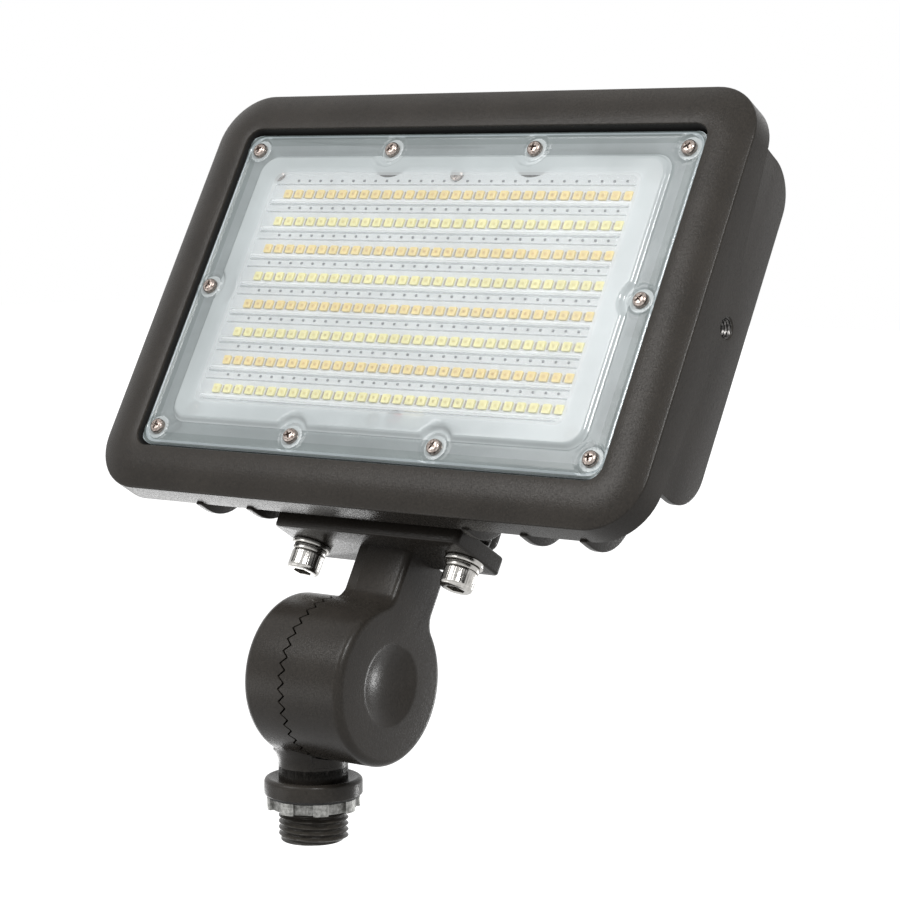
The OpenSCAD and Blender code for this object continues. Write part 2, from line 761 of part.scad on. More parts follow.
module driver_screws() {
  color(stainless) face_frame() for (p = driver_ear_spots) translate([p[0], p[1], box_floor_z - 2])
    rotate([180, 0, 0]) pan_screw(3, 6, 5.6, 2);
}

// Three supply leads from the driver down the hollow arm into the knuckle
module supply_leads() {
  color([0.1, 0.1, 0.1]) face_frame() for (i = [0:2]) {
    x = arm_x - head_dx + 1.5 * cos(210 - 120 * i);
    z = -wire_y + 1.5 * sin(210 - 120 * i);
    start_x = (i - 1) * 6 - 2;
    start_z = 12;
    lead(bend([
      [start_x, driver_bottom, start_z], [start_x, driver_bottom - 6, start_z],
      [x, bay_bottom + 5, z], [x, 13 - head_up, z]
    ], 1.5), 0.9);
  }
}

// Gasket between the driver box and the cover
module cover_gasket() {
  color(black_rubber) face_frame() layer(cover_z, box_rear_z) difference() {
    translate([0, cover_mid]) round_rect(cover_w - 0.6, cover_h - 0.6, 3);
    bay_outline();
    for (p = cover_screw_spots) translate(p) circle(2 + free_gap, $fn = 32);
  }
}

// Cover of the driver box, with a window for the selector switch
module rear_cover() {
  color(bronze) face_frame() difference() {
    translate([0, cover_mid, 0]) layer(cover_z - cover_t, cover_z) round_rect(cover_w, cover_h, 3);
    for (p = cover_screw_spots) translate([p[0], p[1], cover_z - cover_t - 1])
      cylinder(h = cover_t + 2, r = 2 + free_gap, $fn = 32);
    translate([0, switch_y, 0]) {
      layer(cover_z - cover_t - 1, cover_z + 1) square([2 * switch_travel + 4.5, 4], center = true);
      layer(cover_z - cover_t - 1, cover_z - cover_t + 1.3) round_rect(18, 9, 2);
    }
  }
}

module cover_screws() {
  color(stainless) face_frame() for (p = cover_screw_spots) translate([p[0], p[1], cover_z - cover_t])
    rotate([180, 0, 0]) pan_screw(4, cover_t + gasket_t + 10, 7.6, 2.6);
}

// Body of the slide switch that sets the colour of the light
module switch_body() {
  color([0.15, 0.15, 0.16]) face_frame() translate([0, switch_y, 0]) difference() {
    translate([-6.5, -3, cover_z]) cube([13, 6, 5.4]);
    translate([-switch_travel - 1.6, -1.5, cover_z - 1]) cube([2 * switch_travel + 3.2, 3, 3]);
  }
}

module switch_lever() {
  color("white") face_frame() translate([-1.2, switch_y - 1.1, cover_z - 1.2]) cube([2.4, 2.2, 2.8]);
}

// Soft plug over the switch window
module switch_cap() {
  color(black_rubber) face_frame() translate([0, switch_y, 0])
    layer(cover_z - cover_t, cover_z - cover_t + 1.3) round_rect(18 - 2 * fit_gap, 9 - 2 * fit_gap, 2);
}

knuckle_base();
stub_gasket();
locknut();
knuckle_seal();
knuckle_washer();
knuckle_spring_washer();
knuckle_bolt();
knuckle_arm();
plate_gasket();
plate_washers();
plate_spring_washers();
plate_screws();
housing();
lens_gasket();
lens();
lens_screws();
led_board();
warm_leds();
cool_leds();
board_connector();
board_screws();
led_leads();
driver();
driver_screws();
supply_leads();
cover_gasket();
rear_cover();
cover_screws();
switch_body();
switch_lever();
switch_cap();
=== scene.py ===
"""Flood light on a serrated knuckle mount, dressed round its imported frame.

The row frame has its origin in the centre of the collar seat, +Z up the stub, and the lamp faces -Y.
Shapes are worked out in millimetres in the frames of Place, as arrays, and put into meshes in metres.
"""
import logging
from dataclasses import dataclass, field
from enum import Enum

import bmesh
import bpy
import numpy as np
from mathutils import Matrix, Vector


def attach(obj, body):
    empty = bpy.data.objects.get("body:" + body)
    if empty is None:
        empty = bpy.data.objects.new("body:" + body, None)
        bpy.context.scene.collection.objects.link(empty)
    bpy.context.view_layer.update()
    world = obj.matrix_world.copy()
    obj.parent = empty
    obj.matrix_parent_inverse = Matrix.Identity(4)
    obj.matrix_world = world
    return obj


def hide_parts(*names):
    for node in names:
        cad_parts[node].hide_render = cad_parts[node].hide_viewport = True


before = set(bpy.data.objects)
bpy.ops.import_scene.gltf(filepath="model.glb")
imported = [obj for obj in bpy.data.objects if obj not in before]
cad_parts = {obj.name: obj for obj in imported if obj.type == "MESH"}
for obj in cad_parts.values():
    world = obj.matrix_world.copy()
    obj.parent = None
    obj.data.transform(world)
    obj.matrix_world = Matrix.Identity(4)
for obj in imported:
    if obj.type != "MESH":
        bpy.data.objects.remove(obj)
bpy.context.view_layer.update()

Array = np.ndarray
Socket = bpy.types.NodeSocket
Triple = tuple[float, float, float]
log = logging.getLogger("flood_light")

# Tilt axis above the seat, the head's middle along X and above the tilt axis, and the lean at rest.
HINGE_H = 36.0
HEAD_U = 18.6
HEAD_UP = 110.8
TILT = np.radians(30.0)
TURN = 2 * np.pi
MM = 0.001


class Place(Enum):
    """Frames that shapes are worked out in; each one stands in the one before it."""

    ROW = "row"
    HINGE = "tilt axis, not tilted"
    HEAD = "tilt axis, tilted with the lamp"
    FACE = "housing: right, up, forward"


def place_matrix(place: Place) -> Array:
    """Matrix that takes a frame's millimetres to the row frame.

    The head frame is turned back about X through the tilt axis; the face frame stands in it with its
    third axis towards the front.

    Args:
        place: the frame.

    Returns:
        4x4 array.
    """
    lift, tilt, face = np.eye(4), np.eye(4), np.eye(4)
    lift[2, 3] = HINGE_H
    c, s = np.cos(-TILT), np.sin(-TILT)
    tilt[1:3, 1:3] = [[c, -s], [s, c]]
    face[:3, :3] = [[1, 0, 0], [0, 0, -1], [0, 1, 0]]
    face[:3, 3] = [HEAD_U, 0, HEAD_UP]
    result = np.eye(4)
    for step in (lift, tilt, face)[:list(Place).index(place)]:
        result = result @ step
    return result


@dataclass
class Shell:
    """Points, and blocks of equal-sided faces that each have a finish number."""

    points: Array
    faces: list[tuple[Array, int]]

    def __add__(self, other: "Shell") -> "Shell":
        """Both shells as one."""
        shift = len(self.points)
        faces = self.faces + [(f + shift, k) for f, k in other.faces]
        return Shell(np.vstack((self.points, other.points)), faces)

    def moved(self, x: float = 0.0, y: float = 0.0, z: float = 0.0) -> "Shell":
        """The shell shifted."""
        return Shell(self.points + np.array([x, y, z]), self.faces)

    def axes(self, first: int, second: int, third: int) -> "Shell":
        """The shell with its axes in another order, such as 2, 0, 1 to stand a section up."""
        return Shell(self.points[:, [first, second, third]], self.faces)

    def flipped(self) -> "Shell":
        """The shell turned by half a turn about its first axis."""
        return Shell(self.points * np.array([1.0, -1.0, -1.0]), self.faces)

    def spun(self, angle: float) -> "Shell":
        """The shell turned about its third axis by an angle in radians."""
        c, s = np.cos(angle), np.sin(angle)
        return Shell(self.points @ np.array([[c, s, 0], [-s, c, 0], [0, 0, 1]]), self.faces)

    def finished(self, finish: int) -> "Shell":
        """The shell with one finish number on all faces."""
        return Shell(self.points, [(f, finish) for f, _ in self.faces])

    def repeated(self, offsets: Array) -> "Shell":
        """The shell once at each offset.

        Args:
            offsets: array of [x, y, z] rows.

        Returns:
            one shell with all copies.
        """
        size, count = len(self.points), len(offsets)
        steps = (np.arange(count) * size)[:, None, None]
        faces = [((f[None] + steps).reshape(-1, f.shape[1]), k) for f, k in self.faces]
        return Shell((self.points[None] + offsets[:, None]).reshape(-1, 3), faces)


def loft(rings: Array, close: bool = False, hubs: Array | None = None, bands: Array | None = None) -> Shell:
    """Surface through a stack of closed rings.

    Point (i, j) is the j-th point of ring i. Neighbouring rings are joined by quads. An open stack is
    closed by fans to a hub in each end ring, the mean of its points unless given.

    Args:
        rings: array of rings x points x 3.
        close: whether the last ring joins the first one, as round a tube that bites its tail.
        hubs: the two hub points of an open stack.
        bands: finish number of each band between rings.

    Returns:
        the shell.
    """
    m, n, _ = rings.shape
    index = np.arange(m * n).reshape(m, n)
    low = index if close else index[:-1]
    high = np.roll(index, -1, 0) if close else index[1:]
    quads = np.stack((low, np.roll(low, -1, 1), np.roll(high, -1, 1), high), -1)
    kinds = np.zeros(len(low), int) if bands is None else np.asarray(bands)
    faces = [(quads[kinds == k].reshape(-1, 4), int(k)) for k in np.unique(kinds)]
    points = rings.reshape(-1, 3)
    if close:
        return Shell(points, faces)
    ends = rings[[0, -1]].mean(1) if hubs is None else np.asarray(hubs, float)
    for hub, ring, kind in ((0, index[0, ::-1], kinds[0]), (1, index[-1], kinds[-1])):
        fan = np.stack((ring, np.roll(ring, -1), np.full(n, m * n + hub)), -1)
        faces.append((fan, int(kind)))
    return Shell(np.vstack((points, ends)), faces)


def rect_rings(half_w: Array, half_h: Array, radius: Array, height: Array, mid: Array = 0.0,
               arc: int = 8) -> Array:
    """Stack of rectangles with round corners.

    Each corner is a quarter circle of the radius about a point that lies the radius inside both sides.

    Args:
        half_w: half width of each ring.
        half_h: half height of each ring.
        radius: corner radius of each ring.
        height: third coordinate of each ring.
        mid: second coordinate of each ring's centre.
        arc: steps in each corner.

    Returns:
        array of rings x points x 3.
    """
    sizes = np.broadcast_arrays(*map(np.atleast_1d, (half_w, half_h, radius, height, mid)))
    w, h, r, z, c = (a[:, None, None] for a in sizes)
    angle = np.linspace(0, np.pi / 2, arc + 1)[None] + np.arange(4)[:, None] * np.pi / 2
    sx, sy = np.array([1, -1, -1, 1])[:, None], np.array([1, 1, -1, -1])[:, None]
    x = sx * (w - r) + r * np.cos(angle)
    y = sy * (h - r) + r * np.sin(angle) + c
    return np.stack((x, y, z + 0 * x), -1).reshape(len(x), -1, 3)


def fine_rings(rings: Array, step: float) -> Array:
    """Rings with points added along their long sides.

    The first ring's sides are cut into pieces of about one step, and all rings at the same shares of their
    sides.

    Args:
        rings: array of rings x points x 3.
        step: distance between points on the first ring.

    Returns:
        array of rings x more points x 3.
    """
    after = np.roll(rings, -1, 1)
    pieces = np.maximum(1, np.round(np.linalg.norm((after - rings)[0], axis=-1) / step)).astype(int)
    side = np.repeat(np.arange(len(pieces)), pieces)
    first = np.repeat(np.cumsum(pieces) - pieces, pieces)
    share = ((np.arange(len(side)) - first) / pieces[side])[None, :, None]
    return rings[:, side] * (1 - share) + after[:, side] * share


def outline(corners: Array, radii: Array, arc: int = 6) -> tuple[Array, Array]:
    """Closed anticlockwise outline with rounded corners.

    A corner whose unit ways to its neighbours are a and b gets an arc of radius r about the point
    r / sin(half the angle between them) away along a + b.

    Args:
        corners: array of corners x 2.
        radii: radius at each corner.
        arc: steps in each corner.

    Returns:
        points and outward normals, each as an array of points x 2.
    """
    p, r = np.asarray(corners, float), np.asarray(radii, float)[:, None]
    a, b = np.roll(p, 1, 0) - p, np.roll(p, -1, 0) - p
    a, b = a / np.linalg.norm(a, axis=1, keepdims=True), b / np.linalg.norm(b, axis=1, keepdims=True)
    half = (np.arccos(np.clip((a * b).sum(1), -1, 1)) / 2)[:, None]
    centre = p + (a + b) / np.linalg.norm(a + b, axis=1, keepdims=True) * r / np.sin(half)
    first, last = (p + a * r / np.tan(half) - centre) / r, (p + b * r / np.tan(half) - centre) / r
    sweep = (np.pi - 2 * half)[:, :, None]
    s = np.linspace(0, 1, arc + 1)[None, :, None]
    ways = (np.sin((1 - s) * sweep) * first[:, None] + np.sin(s * sweep) * last[:, None]) / np.sin(sweep)
    bend = np.sign(a[:, 1] * b[:, 0] - a[:, 0] * b[:, 1])[:, None, None]
    return (centre[:, None] + r[:, None] * ways).reshape(-1, 2), (ways * bend).reshape(-1, 2)


def round_edge(low: float, high: float, edge: float, arc: int = 3) -> tuple[Array, Array]:
    """Inset and height of a plate's rim: a quarter circle at each face.

    Args:
        low: height of the lower face.
        high: height of the upper face.
        edge: radius of the quarter circles.
        arc: steps in each.

    Returns:
        inset and height from the lower to the upper face.
    """
    turn = np.linspace(0, np.pi / 2, arc + 1)
    inset = edge * np.concatenate((1 - np.sin(turn), 1 - np.cos(turn)))
    return inset, np.concatenate((low + edge * (1 - np.cos(turn)), high - edge * (1 - np.sin(turn))))


def circle(count: int) -> Array:
    """Angles of evenly spaced points round a circle, in one row."""
    return (np.arange(count) * TURN / count)[None]


def unit(angle: Array) -> Array:
    """Unit vectors in a plane: cosine and sine of each angle."""
    return np.stack((np.cos(angle), np.sin(angle)), -1)


def polar(radius: Array, angle: Array, height: Array) -> Array:
    """Points at a radius and an angle round the third axis and at a height along it."""
    return np.stack(np.broadcast_arrays(radius * np.cos(angle), radius * np.sin(angle), height), -1)


def raised(flat: Array, height: Array) -> Array:
    """Rings of plane points, each ring at its own height along the third axis."""
    return np.concatenate((flat, np.broadcast_to(height[:, None, None], flat.shape[:2] + (1,))), -1)


def turned(profile: Array, count: int = 64, close: bool = False) -> Shell:
    """Body of revolution: radius and height of each profile point, carried round the third axis.

    Args:
        profile: array of [radius, height] rows.
        count: points round the axis.
        close: whether the profile is a closed section that doesn't reach the axis.

    Returns:
        the shell.
    """
    p = np.asarray(profile, float)
    return loft(polar(p[:, :1], circle(count), p[:, 1:]), close=close)


def ring_section(inner: float, outer: float, low: float, high: float, edge: float) -> Array:
    """Rectangular section of a ring, with round edges: radius and height of each point."""
    return outline([(inner, low), (outer, low), (outer, high), (inner, high)], [edge] * 4, 3)[0]


@dataclass(frozen=True)
class Tree:
    """Node tree of a material or a world under construction, with short ways to add its nodes."""

    owner: bpy.types.Material | bpy.types.World

    @property
    def shader(self) -> bpy.types.Node:
        """The material's surface shader."""
        return self.owner.node_tree.nodes["Principled BSDF"]

    def add(self, kind: str, **values: object) -> bpy.types.Node:
        """Adds a node.

        Args:
            kind: type of node.
            values: inputs by name with _ for blanks, or node settings in lower case.

        Returns:
            the node.
        """
        node = self.owner.node_tree.nodes.new(kind)
        for key, value in values.items():
            if key[0].isupper():
                node.inputs[key.replace("_", " ")].default_value = value
            else:
                setattr(node, key, value)
        return node

    def join(self, source: Socket, target: Socket) -> None:
        """Links two sockets."""
        self.owner.node_tree.links.new(source, target)

    def math(self, operation: str, first: Socket, second: Socket) -> Socket:
        """One value out of two, by an operation of the math node."""
        node = self.add("ShaderNodeMath", operation=operation)
        self.join(first, node.inputs[0])
        self.join(second, node.inputs[1])
        return node.outputs[0]

    def noise(self, scale: float, detail: float = 2.0, rough: float = 0.5) -> Socket:
        """Noise over object coordinates in metres.

        Args:
            scale: features per metre.
            detail: octaves.
            rough: share of the finer octaves.

        Returns:
            the noise's value.
        """
        node = self.add("ShaderNodeTexNoise", Scale=scale, Detail=detail, Roughness=rough)
        self.join(self.add("ShaderNodeTexCoord").outputs["Object"], node.inputs["Vector"])
        return node.outputs["Fac"]

    def ramp(self, value: Socket, to_low: float, to_high: float,
             low: float = 0.3, high: float = 0.7) -> Socket:
        """Maps a range of a value to another range; unless given, it is the range that noise fills."""
        node = self.add("ShaderNodeMapRange", From_Min=low, From_Max=high, To_Min=to_low, To_Max=to_high)
        self.join(value, node.inputs["Value"])
        return node.outputs["Result"]

    def tint(self, value: Socket, dark: Triple, light: Triple,
             low: float = 0.35, high: float = 0.65) -> Socket:
        """Colour between two tones, by a value."""
        node = self.add("ShaderNodeMix", data_type="RGBA")
        self.join(self.ramp(value, 0.0, 1.0, low, high), node.inputs[0])
        node.inputs[6].default_value = (*dark, 1)
        node.inputs[7].default_value = (*light, 1)
        return node.outputs[2]

    def bump(self, value: Socket, depth: float, strength: float, before: Socket | None = None) -> Socket:
        """Bumps the surface by a value, depth in metres, on top of an earlier bump."""
        node = self.add("ShaderNodeBump", Distance=depth, Strength=strength)
        self.join(value, node.inputs["Height"])
        if before is not None:
            self.join(before, node.inputs["Normal"])
        return node.outputs["Normal"]

    def seen(self) -> Socket:
        """Value that is 1 for what the camera, gloss and glass see and 0 for light on a matt surface."""
        path = self.add("ShaderNodeLightPath").outputs
        gloss = self.math("MAXIMUM", path["Is Camera Ray"], path["Is Glossy Ray"])
        return self.math("MAXIMUM", gloss, path["Is Transmission Ray"])

    def paint(self, colour: Socket, rough: Socket, normal: Socket | None = None) -> None:
        """Links colour, roughness and normal to the shader."""
        for socket, name in ((colour, "Base Color"), (rough, "Roughness"), (normal, "Normal")):
            if socket is not None:
                self.join(socket, self.shader.inputs[name])

    def fix(self, **values: object) -> None:
        """Sets plain values on the shader's own sockets."""
        for key, value in values.items():
            self.shader.inputs[key.replace("_", " ")].default_value = value


def new_tree(name: str) -> Tree:
    """Starts a material."""
    material = bpy.data.materials.new(name)
    material.use_nodes = True
    return Tree(material)


def scaled(tone: Triple, factor: float) -> Triple:
    """The tone times a factor, no lighter than white."""
    return tuple(min(1.0, factor * c) for c in tone)


@dataclass(frozen=True)
class PowderCoat:
    """Dark bronze powder coat: fine grain, faint sparkle and soft cloudy tone."""

    name: str
    tone: Triple
    grain: float = 1700.0
    depth: float = 0.00006
    rough: float = 0.28
    shine: float = 0.165
    cloud: float = 55.0
    cloud_depth: float = 0.0002

    def build(self) -> bpy.types.Material:
        """Makes the material."""
        tree = new_tree(self.name)
        fine = tree.noise(self.grain, 3.0, 0.65)
        cloud = tree.noise(self.cloud, 3.0, 0.55)
        both = tree.math("ADD", tree.ramp(fine, 0.0, 0.75), tree.ramp(cloud, 0.0, 0.25))
        tree.paint(
            tree.tint(both, scaled(self.tone, 0.70), scaled(self.tone, 1.35), 0.2, 0.8),
            tree.ramp(fine, self.rough + 0.10, self.rough - 0.12),
            tree.bump(fine, self.depth, 0.9, tree.bump(cloud, self.cloud_depth, 0.15)),
        )
        tree.fix(Specular_IOR_Level=self.shine)
        return tree.owner


@dataclass(frozen=True)
class Metal:
    """Bare metal with patches of tone and a fine grain."""

    name: str
    dark: Triple
    light: Triple
    rough: float
    patch: float = 900.0
    depth: float = 0.000015
    finer: float = 3.1

    def build(self) -> bpy.types.Material:
        """Makes the material."""
        tree = new_tree(self.name)
        fine = tree.noise(self.patch * self.finer)
        tree.paint(
            tree.tint(tree.noise(self.patch, 3.0, 0.6), self.dark, self.light),
            tree.ramp(fine, self.rough * 0.8, self.rough * 1.25),
            tree.bump(fine, self.depth, 0.6),
        )
        tree.fix(Metallic=1.0)
        return tree.owner


@dataclass(frozen=True)
class Moulded:
    """Plastic, rubber, board or gel: slight tone and a fine surface."""

    name: str
    tone: Triple
    rough: float
    spread: float = 0.06
    grain: float = 1500.0
    depth: float = 0.00001

    def build(self) -> bpy.types.Material:
        """Makes the material."""
        tree = new_tree(self.name)
        fine = tree.noise(self.grain)
        cloud = tree.noise(self.grain / 12)
        tree.paint(
            tree.tint(cloud, scaled(self.tone, 1 - self.spread), scaled(self.tone, 1 + self.spread)),
            tree.ramp(fine, self.rough * 0.9, self.rough * 1.1),
            tree.bump(fine, self.depth, 0.5),
        )
        return tree.owner


@dataclass(frozen=True)
class Clear:
    """Clear or frosted polycarbonate: a glossy skin that shows what lies behind it by its share of haze."""

    name: str
    tone: Triple
    haze: float
    rough: float = 0.13

    def build(self) -> bpy.types.Material:
        """Makes the material."""
        tree = new_tree(self.name)
        tree.paint(
            tree.tint(tree.noise(35.0), scaled(self.tone, 0.93), scaled(self.tone, 1.05)),
            tree.ramp(tree.noise(400.0), self.rough * 0.8, self.rough * 1.2),
        )
        haze = tree.ramp(tree.noise(60.0), self.haze * 0.95, self.haze * 1.05)
        tree.join(haze, tree.shader.inputs["Alpha"])
        return tree.owner


FINISHES = {
    "bronze": PowderCoat("dark_bronze_coat", (0.0322, 0.0282, 0.0240)),
    # Near-black coat of the window's wall: painted shade where the wall lies in shadow.
    "shade": Moulded("painted_shade_wall_coat", (0.006, 0.0055, 0.005), 0.75, depth=0.00003),
    # Dark metal of the threaded hole: painted shade of the deep hole.
    "bore": Metal("thread_painted_shade", (0.03, 0.029, 0.028), (0.17, 0.165, 0.16), 0.32, 1500.0),
    "bronze_thread": PowderCoat("coated_thread", (0.040, 0.036, 0.030), depth=0.00004, rough=0.36,
                                shine=0.35),
    "stainless": Metal("stainless_steel", (0.17, 0.13, 0.115), (0.50, 0.44, 0.40), 0.24, 1500.0),
    "bolt": Metal("bright_bolt_steel", (0.40, 0.39, 0.37), (0.54, 0.525, 0.50), 0.20, 900.0, 0.000001),
    "zinc": Metal("cast_zinc", (0.17, 0.17, 0.162), (0.36, 0.36, 0.345), 0.44, 900.0, 0.00006),
    # Darker zinc for the ring between the lugs: painted shade in the recesses.
    "zinc_painted_shade": Metal("zinc_painted_shade", (0.12, 0.12, 0.113), (0.28, 0.28, 0.27), 0.5, 900.0, 0.00006),
    "rubber": Moulded("black_rubber", (0.011, 0.011, 0.011), 0.6),
    # Board and lamp tones are held darker by the shade the lens doesn't cast: painted shade.
    "board": Moulded("solder_mask_painted_shade", (0.605, 0.63, 0.64), 0.45, 0.03),
    "warm_body": Moulded("warm_lamp_body", (0.80, 0.62, 0.21), 0.4, 0.05),
    "warm_gel": Moulded("warm_lamp_gel", (0.77, 0.48, 0.095), 0.35, 0.06),
    "cool_body": Moulded("cool_lamp_body", (0.82, 0.76, 0.325), 0.4, 0.05),
    "cool_gel": Moulded("cool_lamp_gel", (0.80, 0.675, 0.19), 0.35, 0.06),
    "pad": Moulded("tinned_pad", (0.13, 0.14, 0.15), 0.35),
    # Dark marks between neighbouring lamps: painted shade that falls between them.
    "track": Moulded("board_gap_shade", (0.30, 0.26, 0.20), 0.5),
    # Bright bands at the lens's edge: painted highlight. Dark band between them: painted shade.
    "edge": Clear("lens_edge_painted_highlight", (0.45, 0.51, 0.53), 0.80),
    "line": Clear("lens_line_painted_shade", (0.16, 0.19, 0.19), 0.80),
    "flange": Clear("clear_flange", (0.27, 0.31, 0.31), 0.64),
    "flange_inner": Clear("clear_flange_inner", (0.36, 0.40, 0.405), 0.62),
    "frost": Clear("frosted_field", (0.50, 0.545, 0.552), 0.90),
    "optic": Clear("clear_optic", (0.74, 0.77, 0.78), 0.14),
    # Grey ridges: painted shade lines. White crests: painted highlight lines.
    "ridge": Clear("optic_ridge", (0.36, 0.40, 0.41), 0.42),
    "crest": Clear("optic_crest_painted_highlight", (0.84, 0.87, 0.88), 0.36),
    "veil": Clear("frosted_border", (0.53, 0.575, 0.583), 0.84),
    "thin_veil": Clear("thin_frost", (0.60, 0.635, 0.642), 0.62),
    "boss": Clear("screw_boss", (0.52, 0.56, 0.565), 0.75),
    "ivory": Moulded("ivory_nylon", (0.75, 0.72, 0.60), 0.4),
    "red": Moulded("red_insulation", (0.45, 0.03, 0.02), 0.4),
    "case": Moulded("driver_case", (0.60, 0.60, 0.57), 0.45),
    "black": Moulded("black_plastic", (0.02, 0.02, 0.022), 0.4),
    "white": Moulded("white_plastic", (0.80, 0.80, 0.78), 0.35),
}


@dataclass
class Workshop:
    """Puts shells into the scene as pieces that ride on bodies."""

    built: dict[str, bpy.types.Material] = field(default_factory=dict)

    def finish(self, key: str) -> bpy.types.Material:
        """The material of a finish, made once."""
        if key not in self.built:
            self.built[key] = FINISHES[key].build()
        return self.built[key]

    def make(self, name: str, shell: Shell, place: Place, body: str, slot: str, finishes: tuple[str, ...],
             replaces: tuple[str, ...] = (), sharp: float = 32.0) -> bpy.types.Object:
        """Makes one piece.

        The points go through the frame's matrix into metres, faces are turned outwards, and edges sharper
        than the given angle stay sharp.

        Args:
            name: name of the piece.
            shell: its closed surfaces, in millimetres.
            place: frame of the shell.
            body: body that it rides on.
            slot: material slot of the record; not used.
            finishes: finish of each finish number.
            replaces: nodes that it stands for.
            sharp: angle in degrees above which an edge stays sharp.

        Returns:
            the object.
        """
        matrix = place_matrix(place)
        points = (shell.points @ matrix[:3, :3].T + matrix[:3, 3]) * MM
        sizes = np.concatenate([np.full(len(f), f.shape[1]) for f, _ in shell.faces])
        kinds = np.concatenate([np.full(len(f), k) for f, k in shell.faces])
        corners = np.concatenate([f.ravel() for f, _ in shell.faces])
        mesh = bpy.data.meshes.new(name)
        mesh.vertices.add(len(points))
        mesh.vertices.foreach_set("co", points.ravel())
        mesh.loops.add(len(corners))
        mesh.loops.foreach_set("vertex_index", corners.astype(np.int32))
        mesh.polygons.add(len(sizes))
        mesh.polygons.foreach_set("loop_start", (np.cumsum(sizes) - sizes).astype(np.int32))
        mesh.polygons.foreach_set("material_index", kinds.astype(np.int32))
        mesh.update(calc_edges=True)
        mesh.validate()
        for key in finishes:
            mesh.materials.append(self.finish(key))
        work = bmesh.new()
        work.from_mesh(mesh)
        bmesh.ops.remove_doubles(work, verts=work.verts, dist=0.002 * MM)
        bmesh.ops.recalc_face_normals(work, faces=work.faces)
        work.to_mesh(mesh)
        work.free()
        mesh.polygons.foreach_set("use_smooth", np.ones(len(mesh.polygons), bool))
        mesh.set_sharp_from_angle(angle=np.radians(sharp))
        piece = bpy.data.objects.new(name, mesh)
        bpy.context.scene.collection.objects.link(piece)
        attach(piece, body)
        if replaces:
            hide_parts(*replaces)
        log.info("%s: %d faces on %s", name, len(mesh.polygons), body)
        return piece

    def dress(self, node: str, key: str) -> None:
        """Gives its finish to a node that stays as it is."""
        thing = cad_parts[node]
        if not thing.material_slots:
            thing.data.materials.append(self.finish(key))
        for slot in thing.material_slots:
            slot.link = "OBJECT"
            slot.material = self.finish(key)
        log.info("%s: dressed", node)

    def soften(self, node: str, body: str, slot: str, key: str, width: float) -> None:
        """Replaces a node by a copy of its mesh with merged corners, dissolved flats and rounded edges.

        Args:
            node: the node.
            body: body that it rides on.
            slot: material slot of the record; not used.
            key: its finish.
            width: width of the rounded edges in millimetres.
        """
        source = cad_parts[node]
        work = bmesh.new()
        work.from_mesh(source.data)
        work.transform(source.matrix_world)
        bmesh.ops.remove_doubles(work, verts=work.verts, dist=0.005 * MM)
        bmesh.ops.dissolve_limit(work, angle_limit=0.02, verts=work.verts, edges=work.edges)
        mesh = bpy.data.meshes.new(node + "_soft")
        work.to_mesh(mesh)
        work.free()
        mesh.materials.clear()
        mesh.materials.append(self.finish(key))
        mesh.polygons.foreach_set("material_index", np.zeros(len(mesh.polygons), np.int32))
        mesh.polygons.foreach_set("use_smooth", np.ones(len(mesh.polygons), bool))
        piece = bpy.data.objects.new(node + "_soft", mesh)
        bpy.context.scene.collection.objects.link(piece)
        bevel = piece.modifiers.new("edges", "BEVEL")
        bevel.width = width * MM
        bevel.segments = 2
        bevel.limit_method = "ANGLE"
        bevel.angle_limit = np.radians(40)
        bevel.harden_normals = True
        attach(piece, body)
        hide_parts(node)
        log.info("%s: rounded copy", node)


